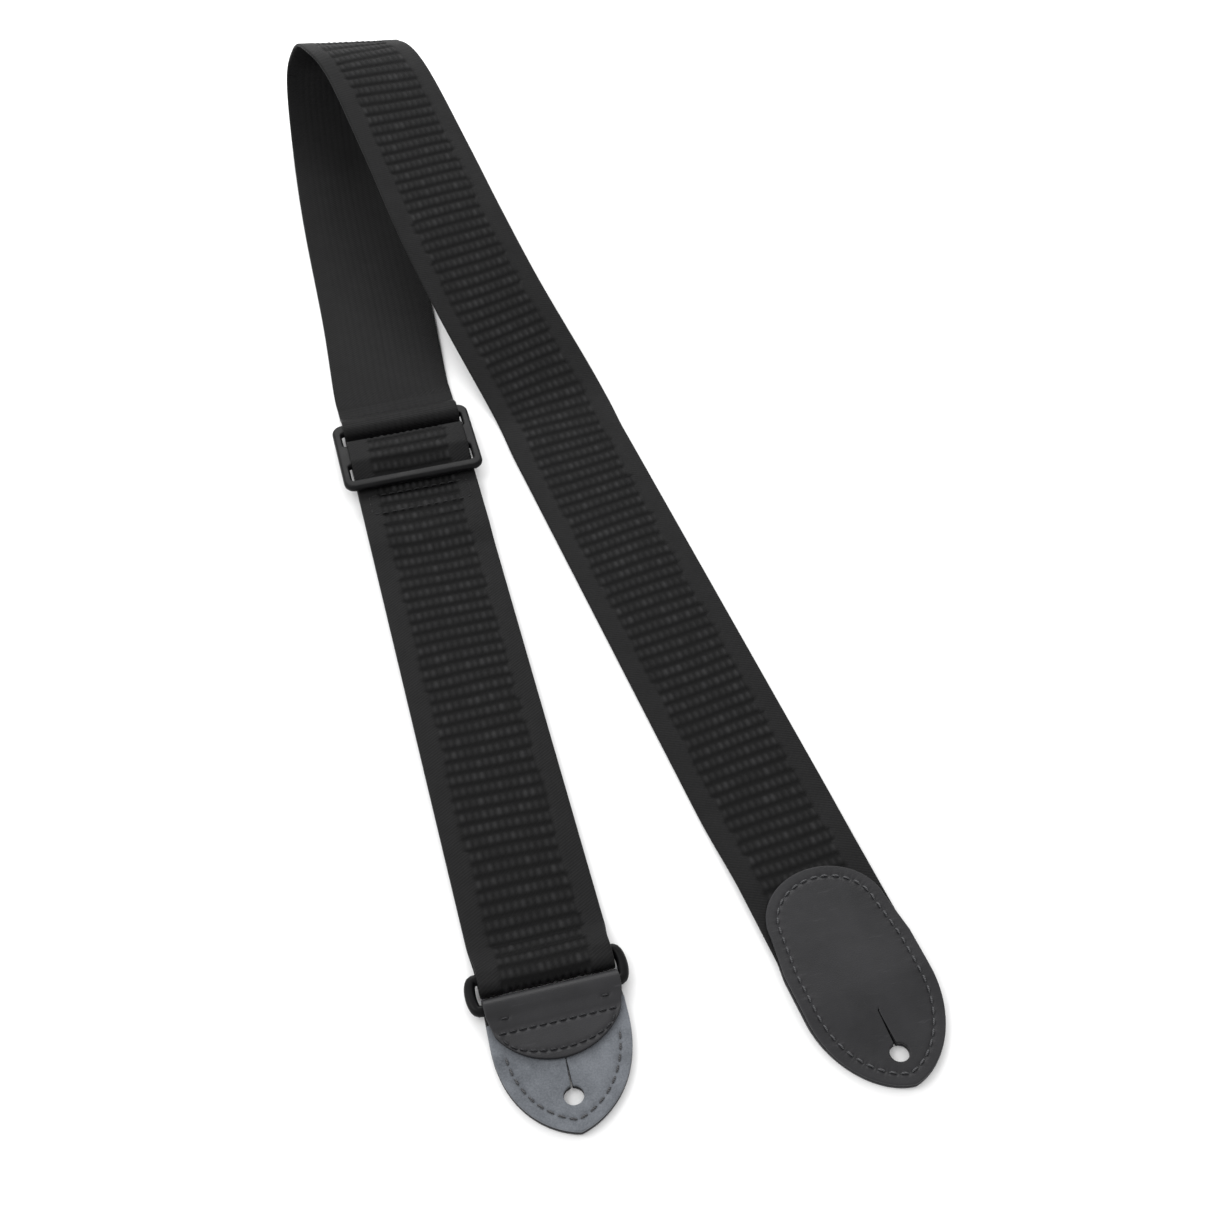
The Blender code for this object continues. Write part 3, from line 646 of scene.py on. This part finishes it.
def build_doubled_webbing():
    """The two layers between the slider and the ring, and the slack turn round the ring's bar."""
    bar_y = RING_Y + RING_BAR_OFFSET
    tail_z = FLOOR_Z + LAYER
    return_z = tail_z + LAYER
    under_rows = straight_rows([(SLIDER_Y - 2.0, FLOOR_Z), (TURN_END_Y, FLOOR_Z)])
    under, under_long = weave("under_layer", under_rows, 1, step=1.6)
    turn_rows = np.vstack([
        straight_rows([(TURN_END_Y, FLOOR_Z), (bar_y + 14.0, FLOOR_Z)]),
        straight_rows([(bar_y + 5.0, FLOOR_Z)], RING_WEB_HALF),
        straight_rows(arc(TURN_Y, RING_Z, TURN_RADIUS, 270, 90, 30), RING_WEB_HALF),
        straight_rows([(bar_y + 1.0, RING_Z + TURN_RADIUS), (bar_y + 5.5, RING_Z + 1.6)], RING_WEB_HALF),
        straight_rows([(bar_y + 11.0, tail_z + 0.4), (bar_y + 16.0, tail_z), (TURN_END_Y, tail_z)]),
    ])
    turn, turn_long = weave("ring_turn_web", turn_rows, 1, 0.6, step=0.5)
    back_rows = straight_rows([
        (TURN_END_Y, tail_z), (WRAP_END_Y - 22.0, tail_z), (WRAP_END_Y - 18.0, tail_z + 0.15),
        (WRAP_END_Y - 9.0, return_z - 0.15), (WRAP_END_Y - 5.0, return_z), (WRAP_END_Y, return_z),
    ])
    back, back_long = weave("return_layer", back_rows, 1, 0.6 + turn_long / MM)
    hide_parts("webbing_under_layer")
    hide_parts("webbing_ring_turn")
    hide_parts("webbing_return_layer")
    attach(turn, "ring_turn")
    for obj, top in ((under, SLIDER_Y - 2.0), (back, WRAP_END_Y)):
        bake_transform(obj)


# ---------------------------------------------------------------- plates with rounded edges


def bezier(p0, p1, p2, p3, steps):
    t = np.linspace(0.0, 1.0, steps + 1)[:, None]
    s = 1 - t
    first_half = s**3 * np.array(p0) + 3 * s * s * t * np.array(p1)
    return first_half + 3 * s * t * t * np.array(p2) + t**3 * np.array(p3)


def pointed_side(point):
    """The right side of a softly pointed end, as (half-width, distance from the tip), tip first."""
    near, near_half, far, length = point
    curve = bezier((0.0, 0.0), (near, near_half), (far, LEATHER_HALF), (length, LEATHER_HALF), 40)
    return [(w, y) for y, w in curve]


def leaning(x, y):
    """The x of a point of the tab, which leans a little to the left below the ring."""
    return x - TAB_LEAN * np.maximum(TAB_LEAN_FROM_Y - y, 0.0)


def closed_from_side(side):
    """A closed outline from its right side, mirrored, counter-clockwise from the bottom."""
    left = [(-x, y) for x, y in reversed(side) if abs(x) > 1e-6]
    return np.array(side + left)


def respaced(loop, spacing):
    """A closed loop with points at an even spacing."""
    closed = np.vstack([loop, loop[:1]])
    reach = lengths(closed)
    count = max(int(round(reach[-1] / spacing)), 8)
    return at_lengths(closed, reach, np.linspace(0.0, reach[-1], count + 1)[:-1])


def distance_to(points, loop):
    """Each point's distance to a closed loop."""
    a, b = loop, np.roll(loop, -1, axis=0)
    d = b - a
    size = np.maximum((d * d).sum(1), 1e-12)
    best = np.full(len(points), 1e9)
    for start in range(0, len(points), 2000):
        p = points[start : start + 2000, None, :]
        t = (((p - a) * d).sum(2) / size).clip(0, 1)
        best[start : start + 2000] = np.linalg.norm(p - (a + t[..., None] * d), axis=2).min(1)
    return best


def inside(points, loop):
    """True for each point within a closed loop."""
    found = np.zeros(len(points), bool)
    x, y = points[:, 0], points[:, 1]
    for (x0, y0), (x1, y1) in zip(loop, np.roll(loop, -1, axis=0)):
        crosses = (y0 > y) != (y1 > y)
        if y1 != y0:
            found ^= crosses & (x < (x1 - x0) * (y - y0) / (y1 - y0) + x0)
    return found


def offset_loop(loop, distance):
    """The loop's points moved to its left by a distance."""
    ahead, behind = np.roll(loop, -1, axis=0), np.roll(loop, 1, axis=0)
    along = ahead - behind
    along /= np.maximum(np.linalg.norm(along, axis=1), 1e-9)[:, None]
    return loop + np.stack([-along[:, 1], along[:, 0]], 1) * distance


def triangulated(cloud, edges, rim, holes):
    """The points used between a rim and its holes, and their triangles, all facing up."""
    out, _, triangles, *_ = delaunay_2d_cdt([Vector(p) for p in cloud], edges, [], 0, 1e-6)
    flat = np.array([(p.x, p.y) for p in out])
    triangles = np.array([t for t in triangles if len(t) == 3])
    centres = flat[triangles].mean(1)
    kept = inside(centres, rim)
    for hole in holes:
        kept &= ~inside(centres, hole)
    triangles = triangles[kept]
    used = np.unique(triangles)
    renumber = np.full(len(flat), -1)
    renumber[used] = np.arange(len(used))
    flat, triangles = flat[used], renumber[triangles]
    a, b, c = (flat[triangles[:, k]] for k in range(3))
    turn = (b[:, 0] - a[:, 0]) * (c[:, 1] - a[:, 1]) - (b[:, 1] - a[:, 1]) * (c[:, 0] - a[:, 0])
    triangles[turn < 0] = triangles[turn < 0][:, ::-1]
    return flat, triangles[np.abs(turn) > 1e-9]


def plate(name, outline, openings, thickness, edge, place, surface, spacing, relief=None, power=2.6):
    """A flat piece with rounded edges. place puts (x, y, offset from its middle) in space."""
    rim = respaced(outline, spacing)
    holes = [respaced(loop, min(spacing, 0.5)) for loop in openings]
    loops = [rim, *holes]
    points, edges = [], []
    for loop in loops:
        first = sum(len(p) for p in points)
        count = len(loop)
        points.append(loop)
        edges += [(first + i, first + (i + 1) % count) for i in range(count)]

    def boundary_distance(where):
        return np.min([distance_to(where, loop) for loop in loops], axis=0)

    for share in (0.12, 0.35, 0.68, 1.0):
        for loop, side in [(rim, 1.0)] + [(hole, -1.0) for hole in holes]:
            ring = offset_loop(loop, side * edge * share)
            points.append(ring[boundary_distance(ring) > edge * share * 0.93])
    low, high = rim.min(0), rim.max(0)
    xs = np.arange(low[0] + spacing / 2, high[0], spacing)
    ys = np.arange(low[1] + spacing / 2, high[1], spacing)
    grid = np.stack(np.meshgrid(xs, ys), -1).reshape(-1, 2)
    grid = grid[inside(grid, rim)]
    for hole in holes:
        grid = grid[~inside(grid, hole)]
    grid = grid[boundary_distance(grid) > edge + spacing * 0.45]
    points.append(grid)
    flat, triangles = triangulated(np.vstack(points), edges, rim, holes)
    depth = boundary_distance(flat)
    on_rim = depth < 1e-4
    swell = thickness / 2 * (1 - (1 - (depth / edge).clip(0, 1)) ** power) ** (1 / power)
    swell[on_rim] = 0.0
    upper = swell.copy()
    if relief is not None:
        upper = upper + relief(flat) * (depth / edge).clip(0, 1)
    top = place(flat[:, 0], flat[:, 1], upper)
    lower_of = np.arange(len(flat))
    lower_of[~on_rim] = len(flat) + np.arange((~on_rim).sum())
    bottom = place(flat[~on_rim, 0], flat[~on_rim, 1], -swell[~on_rim])
    faces = [triangles, lower_of[triangles][:, ::-1]]
    return add_mesh(name, to_frame(np.vstack([top, bottom])), faces, surface, 60.0)


def keyhole(centre, towards, slit=0.34):
    """A round button hole with a narrow slit that runs from it along y, up or down."""
    half_gap = math.asin(slit / HOLE_RADIUS)
    points = []
    for i in range(33):
        angle = math.pi / 2 + half_gap + (2 * math.pi - 2 * half_gap) * i / 32
        points.append((HOLE_RADIUS * math.cos(angle), HOLE_RADIUS * math.sin(angle)))
    reach = SLIT_LENGTH + HOLE_RADIUS
    rise = np.linspace(HOLE_RADIUS + 0.5, reach - 0.2, 22)
    side = [(slit * (0.55 + 0.45 * math.cos(3.0 * (y - HOLE_RADIUS) / SLIT_LENGTH)), y) for y in rise]
    points += side + [(0.0, reach)] + [(-x, y) for x, y in reversed(side)]
    loop = np.array(points)
    loop[:, 1] *= towards
    if towards < 0:
        loop = loop[::-1]
    return loop + np.array(centre)


# ---------------------------------------------------------------- stitching


def stitch_places(path, pitch=STITCH_PITCH, closed=False):
    """(start, end) of each stitch along a polyline, in the plate's own plane."""
    line = np.vstack([path, path[:1]]) if closed else np.asarray(path, float)
    reach = lengths(line)
    count = max(int(round(reach[-1] / pitch)), 1)
    real = reach[-1] / count
    centres = (np.arange(count) + 0.5) * real
    half = STITCH_LENGTH / 2
    return at_lengths(line, reach, centres - half), at_lengths(line, reach, centres + half)


def stitch_dents(sets, channel=0.13, pucker=0.0):
    """The leather's dip along seams: a channel, deeper at each needle hole, with puckers across it there."""
    starts = np.vstack([pair[0] for pair in sets])
    ends = np.vstack([pair[1] for pair in sets])
    holes = np.vstack([starts, ends])
    heading = unit(np.vstack([ends - starts] * 2))

    def relief(points):
        d = ends - starts
        size = (d * d).sum(1)
        t = (((points[:, None] - starts) * d).sum(2) / size).clip(0, 1)
        near = np.linalg.norm(points[:, None] - (starts + t[..., None] * d), axis=2).min(1)
        away = points[:, None] - holes
        hole = np.linalg.norm(away, axis=2).min(1)
        ahead = (away * heading).sum(2)
        aside = away[..., 0] * heading[:, 1] - away[..., 1] * heading[:, 0]
        folds = np.exp(-((ahead / 0.6) ** 2) - (aside / 1.9) ** 2).max(1)
        dip = channel * np.exp(-((near / 0.9) ** 2)) + 0.3 * np.exp(-((hole / 0.55) ** 2))
        return -dip - pucker * folds

    return relief


def stitches(name, pairs, place, level, surface=THREAD, radius=THREAD_RADIUS):
    """Short bowed lengths of thread, one for each (start, end), whose ends go down into the layer below."""
    sides, stations = 8, 9
    points, faces = [], []
    for a, b in zip(*pairs):
        t = np.linspace(-1.0, 1.0, stations)
        line = a + (b - a) * ((t + 1) / 2)[:, None]
        bow = level + radius * (0.55 - 2.6 * np.abs(t) ** 3.5)
        centre = place(line[:, 0], line[:, 1], bow)
        along = unit(np.gradient(centre, axis=0))
        lifted = place(line[:, 0], line[:, 1], bow + 1.0)
        up = lifted - centre
        up = unit(up - along * (up * along).sum(1)[:, None])
        side = np.cross(along, up)
        first = len(points) * sides
        for k in range(stations):
            angle = np.linspace(0, 2 * math.pi, sides, endpoint=False)
            girth = radius * (1.0 - 0.35 * abs(t[k]) ** 3)
            ring = centre[k] + girth * (np.cos(angle)[:, None] * side[k] + np.sin(angle)[:, None] * up[k])
            points.append(ring)
        base = np.arange(sides)
        for k in range(stations - 1):
            low, high = first + k * sides, first + (k + 1) * sides
            nxt = (base + 1) % sides
            faces.append(np.stack([low + base, low + nxt, high + nxt, high + base], 1))
        last = first + (stations - 1) * sides
        cap = np.array([[0, 1, 2, 3], [0, 3, 4, 5], [0, 5, 6, 7]])
        faces += [first + cap[:, ::-1], last + cap]
    obj = add_mesh(name, to_frame(np.vstack(points)), faces, surface, 80.0)
    return obj


# ---------------------------------------------------------------- hardware


def rounded_rectangle(half_x, low_y, high_y, radius):
    corners = (
        (half_x - radius, high_y - radius, 0),
        (-half_x + radius, high_y - radius, 90),
        (-half_x + radius, low_y + radius, 180),
        (half_x - radius, low_y + radius, 270),
    )
    points = []
    for x, y, start in corners:
        points += arc(x, y, radius, start, start + 90, 8)
    return np.array(points)


def build_slider():
    """The moulded frame with its two slots, all edges rounded."""
    half = SLIDER_DEPTH / 2
    outline = rounded_rectangle(SLIDER_WIDTH / 2, -half, half, SLIDER_CORNER)
    slots = (
        rounded_rectangle(SLOT_HALF, CENTRE_BAR / 2, half - TOP_BAR, SLOT_CORNER),
        rounded_rectangle(SLOT_HALF, -half + BOTTOM_BAR, -CENTRE_BAR / 2, SLOT_CORNER),
    )

    def place(x, y, offset):
        return np.stack([
            SLIDER_X + x,
            SLIDER_Y + y * math.cos(SLIDER_TILT) + offset * math.sin(SLIDER_TILT),
            SLIDER_Z - y * math.sin(SLIDER_TILT) + offset * math.cos(SLIDER_TILT),
        ], -1)

    obj = plate("slider_body", outline, slots, SLIDER_THICK, 1.25, place, PLASTIC, 0.9, power=2.0)
    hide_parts("slider_frame")
    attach(obj, "slider")


def build_ring():
    """The oval ring of round bar."""
    around, sides = 160, 24
    reach = (RING_LENGTH - RING_BAR) / 2 - RING_STRAIGHT_HALF
    line = []
    for side in (1, -1):
        for i in range(25):
            angle = math.pi * (i / 24 - 0.5)
            x = RING_X + side * (RING_STRAIGHT_HALF + reach * math.cos(angle))
            line.append((x, RING_Y + side * RING_BAR_OFFSET * math.sin(angle)))
    line = respaced(np.array(line), 142.0 / around)
    ahead, behind = np.roll(line, -1, axis=0), np.roll(line, 1, axis=0)
    along = unit(ahead - behind)
    outward = np.stack([along[:, 1], -along[:, 0]], 1)
    angle = np.linspace(0, 2 * math.pi, sides, endpoint=False)
    radius = RING_BAR / 2
    flat = line[:, None] + outward[:, None] * (radius * np.cos(angle))[None, :, None]
    z = np.broadcast_to(RING_Z + radius * np.sin(angle), flat.shape[:2])
    points = np.concatenate([flat, z[..., None]], 2).reshape(-1, 3)
    index = np.arange(len(line) * sides).reshape(len(line), sides)
    a, b = index, np.roll(index, -1, axis=0)
    c, d = np.roll(b, -1, axis=1), np.roll(a, -1, axis=1)
    quads = np.stack([x.ravel() for x in (a, b, c, d)], 1)
    obj = add_mesh("oval_ring", to_frame(points), [quads], PLASTIC)
    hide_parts("ring")
    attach(obj, "ring")


# ---------------------------------------------------------------- leather


def patch_outline():
    """The end patch's outline as (across, along): rounded top, straight sides, soft point."""
    side = []
    for w, distance in pointed_side(PATCH_POINT):
        side.append((w, PATCH_TIP - distance))
    side.append((LEATHER_HALF, -40.0))
    for i in range(21):
        angle = math.pi / 2 * (1 - i / 20)
        side.append((PATCH_TOP_HALF * math.sin(angle), -PATCH_TOP + PATCH_CAP * (1 - math.cos(angle))))
    return closed_from_side(side)[::-1]


def patch_place(low, high):
    """Puts a patch face on the run, low past the webbing's end and high over it."""

    def place(across, along, offset):
        over = smooth(np.clip((-WEB_END + 26.0 - along) / 28.0, 0.0, 1.0))
        return run_point(across, along, low + (high - low) * over + offset)

    return place


def build_end_patch():
    """The two leather faces over the webbing's end, their stitching and the button hole."""
    outline = patch_outline()
    seam = respaced(offset_loop(respaced(outline, 1.0), SEAM_INSET), 1.0)
    pairs = stitch_places(seam, closed=True)
    hole = keyhole((0.0, 0.0), -1)
    front_place = patch_place(PATCH + GAP + PATCH / 2, PATCH + 2 * GAP + WEB_THICK + PATCH / 2)
    back_place = patch_place(PATCH / 2, PATCH / 2)
    dents = stitch_dents([pairs], pucker=0.12)
    front = plate("patch_front", outline, [hole], PATCH, 0.55, front_place, BLACK_LEATHER, 0.55, dents)
    back = plate("patch_back", outline, [hole], PATCH, 0.55, back_place, BLACK_LEATHER, 0.8)
    # The patch's stitches use the lighter thread, whose colour is a painted highlight.
    thread = stitches("patch_stitches", pairs, front_place, PATCH / 2, HIGHLIGHT_PAINTED_THREAD)
    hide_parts("end_patch_front")
    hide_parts("end_patch_back")
    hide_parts("end_patch_seam")
    for obj in (front, back, thread):
        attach(obj, "shoulder")


def tab_profile():
    """The outer leather's middle line (y, z): along the back, round the ring's bar, down on to the lining."""
    bar_y = RING_Y - RING_BAR_OFFSET
    radius = RING_BAR / 2 + GAP + LEATHER / 2
    bar_z = LEATHER / 2 + radius
    flap_z = LEATHER + GAP + LINING + GAP + LEATHER / 2
    line = [(TAB_TIP_Y, LEATHER / 2)] + arc(bar_y, bar_z, radius, -90, 90, 40)
    line += [(bar_y - 2.5, bar_z + radius - 0.55), (bar_y - 4.5, bar_z + radius - 1.5)]
    line += [(MOON_CORNER_Y + 2.6, flap_z + 0.32), (MOON_CORNER_Y, flap_z), (MOON_APEX_Y - 2.0, flap_z)]
    line = np.array(line)
    reach = lengths(line)
    even = at_lengths(line, reach, np.arange(0.0, reach[-1], 0.4))
    for _ in range(4):
        even[1:-1] = (even[:-2] + 2 * even[1:-1] + even[2:]) / 4
    return even


def moon_half_width(y):
    corner_half = LEATHER_HALF - 2.0
    rise = MOON_CORNER_Y - MOON_APEX_Y
    radius = (corner_half**2 + rise**2) / (2 * rise)
    below = MOON_APEX_Y + radius - y
    return math.sqrt(max(radius**2 - below**2, 0.0))


def tab_outline(along_flap):
    """The outer leather laid flat, from the tab's tip to the half-moon's edge."""
    wrap_half = LEATHER_HALF - 0.2
    side = pointed_side(TAB_POINT)
    side += [(LEATHER_HALF, 46.0), (wrap_half, 51.0), (wrap_half, 61.0), (wrap_half - 0.2, along_flap(46.0))]
    for i in range(19):
        y = MOON_CORNER_Y + 0.6 - (MOON_CORNER_Y + 0.6 - MOON_APEX_Y) * math.sin(math.pi / 2 * i / 18)
        half = moon_half_width(y) if y < MOON_CORNER_Y else LEATHER_HALF - 2.0
        side.append((half, along_flap(y)))
    return closed_from_side(side)


def flap_seams(along_flap):
    """The flap's stitches: the straight row, the half-moon's row, and one short stitch at each side."""
    row_half = LEATHER_HALF - 3.4
    row = np.array([(x, along_flap(MOON_CORNER_Y)) for x in np.linspace(-row_half, row_half, 12)])
    moon = []
    for i in range(25):
        angle = math.pi * (i / 24 - 0.5) * 0.94
        y = MOON_CORNER_Y - 1.2 - (MOON_CORNER_Y - MOON_APEX_Y - 4.6) * math.cos(angle)
        moon.append(((row_half - 1.2) * math.sin(angle), along_flap(y)))
    upper_pair = np.array([(-19.2, along_flap(44.6)), (-16.5, along_flap(44.6))])
    extra = [stitch_places(upper_pair * [side_sign, 1.0], 4.0) for side_sign in (1.0, -1.0)]
    extra = tuple(np.vstack([pair[k] for pair in extra]) for k in (0, 1))
    return stitch_places(row, 3.5), stitch_places(np.array(moon), 3.4), extra


def build_tab():
    """The tab: black leather wrapped round the ring and stitched down as a half-moon on a grey lining."""
    profile = tab_profile()
    reach = lengths(profile)
    tangent = unit(np.gradient(profile, axis=0))
    top_half = profile[:, 0].argmax()

    def place(x, s, offset):
        y = np.interp(s, reach, profile[:, 0])
        z = np.interp(s, reach, profile[:, 1])
        ty = np.interp(s, reach, tangent[:, 0])
        tz = np.interp(s, reach, tangent[:, 1])
        return np.stack([leaning(x, y), y + offset * tz, z - offset * ty], -1)

    def along_flap(y):
        """How far along the leather the flap is at y."""
        return float(np.interp(-y, -profile[top_half:, 0], reach[top_half:]))

    row_pairs, moon_pairs, extra = flap_seams(along_flap)
    hole = keyhole((0.0, TAB_HOLE_Y - TAB_TIP_Y), 1)
    crease = along_flap(MOON_CORNER_Y + 1.3)
    dents = stitch_dents([row_pairs, moon_pairs, extra])

    def relief(points):
        across_flap = np.abs(points[:, 0]) < FLAP_FOLD_HALF
        fold = -FLAP_FOLD_DEPTH * np.exp(-(((points[:, 1] - crease) / 0.9) ** 2)) * across_flap
        return np.where(points[:, 1] > FLAP_DENTS_FROM, dents(points) + fold, 0.0)

    outline = tab_outline(along_flap)
    outer = plate("tab_outer", outline, [hole], LEATHER, 0.5, place, BLACK_LEATHER, 0.6, relief)
    row_thread = stitches("flap_row_stitches", row_pairs, place, LEATHER / 2)
    edge_pairs = tuple(np.vstack(p) for p in zip(moon_pairs, extra))
    edge_thread = stitches("flap_edge_stitches", edge_pairs, place, LEATHER / 2)
    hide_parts("tab_leather")
    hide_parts("flap_row_seam")
    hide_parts("flap_edge_seam")
    for obj in (outer, row_thread, edge_thread):
        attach(obj, "tab")
    build_lining()


def build_lining():
    """The grey lining on the tab's front, and the border stitches that show on it."""
    side = [(w, y + TAB_TIP_Y) for w, y in pointed_side(TAB_POINT)] + [(LEATHER_HALF, 44.5)]
    hole = keyhole((0.0, TAB_HOLE_Y), 1)
    outline = closed_from_side(side)
    border = offset_loop(respaced(outline, 1.0), SEAM_INSET)
    shown = border[border[:, 1] < MOON_APEX_Y + 6.0]
    shown = shown[np.argsort(np.arctan2(shown[:, 0], 60.0 - shown[:, 1]))]
    pairs = stitch_places(shown)

    def place(x, y, offset):
        return np.stack(np.broadcast_arrays(leaning(x, y), y, LEATHER + GAP + LINING / 2 + offset), -1)

    dents = stitch_dents([pairs], 0.3)
    lining = plate("tab_lining_leather", outline, [hole], LINING, 0.5, place, SUEDE, 0.55, dents)
    # The border stitches use the lighter thread, whose colour is a painted highlight.
    thread = stitches("tab_border_stitches", pairs, place, LINING / 2 - 0.12, HIGHLIGHT_PAINTED_THREAD)
    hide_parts("tab_lining")
    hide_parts("tab_border_seam")
    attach(lining, "tab")
    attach(thread, "tab")


def build_tail_stitches():
    """The box of stitches that holds the webbing's folded end below the slider."""
    low, high, half = TAIL_END_Y + 3.0, SLIDER_Y - SLIDER_DEPTH / 2 - 3.0, WEB_HALF - 4.0
    box = np.array([(-half, low), (half, low), (half, high), (-half, high)])
    pairs = stitch_places(respaced(box, 1.0), 3.6, closed=True)

    def place(x, y, offset):
        return np.stack(np.broadcast_arrays(x, y, FLOOR_Z + 2 * LAYER + offset), -1)

    thread = stitches("tail_stitches", pairs, place, WEB_THICK / 2 - 0.15, WEB_THREAD, 0.28)
    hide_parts("tail_seam")
    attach(thread, "slider")


# ---------------------------------------------------------------- floor, light and camera


def build_floor():
    """A plain white floor. Its far edge shows faintly in low views."""
    surface = Nodes("floor").finish((0.9, 0.9, 0.9, 1.0), 0.95, specular=0.1)
    corners = [(FLOOR_HALF * x, FLOOR_HALF * y, 0.0) for x, y in ((-1, -1), (1, -1), (1, 1), (-1, 1))]
    mesh = bpy.data.meshes.new("floor")
    mesh.from_pydata(corners, [], [(0, 1, 2, 3)])
    mesh.materials.append(surface)
    floor = bpy.data.objects.new("floor", mesh)
    floor.location = (0.0, 0.0, -FLOOR_DROP)
    bpy.context.scene.collection.objects.link(floor)


def add_light(name, place, target, size, power):
    data = bpy.data.lights.new(name, "AREA")
    data.shape = "RECTANGLE"
    data.size, data.size_y = size
    data.energy = power
    obj = bpy.data.objects.new(name, data)
    obj.location = place
    obj.rotation_mode = "QUATERNION"
    obj.rotation_quaternion = (Vector(target) - Vector(place)).to_track_quat("-Z", "Y")
    bpy.context.scene.collection.objects.link(obj)


def build_light():
    """A white surround, a large soft source behind the loop and a fill from the left."""
    world = bpy.data.worlds.new("surround")
    world.use_nodes = True
    world.node_tree.nodes["Background"].inputs["Color"].default_value = (1.0, 1.0, 1.0, 1.0)
    world.node_tree.nodes["Background"].inputs["Strength"].default_value = 1.05
    bpy.context.scene.world = world
    add_light("back_softbox", (0.1, 1.3, 0.9), (0.0, 0.0, 0.0), (1.4, 0.5), 15.0)
    add_light("side_softbox", (-1.0, 0.1, 1.1), (0.0, 0.0, 0.0), (0.6, 1.2), 8.0)


def build_camera():
    data = bpy.data.cameras.new("camera")
    data.sensor_width = 36.0
    data.lens = CAMERA_LENS
    data.clip_start = 0.01
    camera = bpy.data.objects.new("camera", data)
    camera.location = to_frame(CAMERA_PLACE)
    camera.rotation_euler = (math.pi / 2 - CAMERA_DOWN, 0.0, CAMERA_TURN)
    bpy.context.scene.collection.objects.link(camera)
    bpy.context.scene.camera = camera
    bpy.context.scene.view_settings.view_transform = "Standard"


build_running_webbing()
build_slider_webbing()
build_doubled_webbing()
build_slider()
build_ring()
build_end_patch()
build_tab()
build_tail_stitches()
build_floor()
build_light()
build_camera()
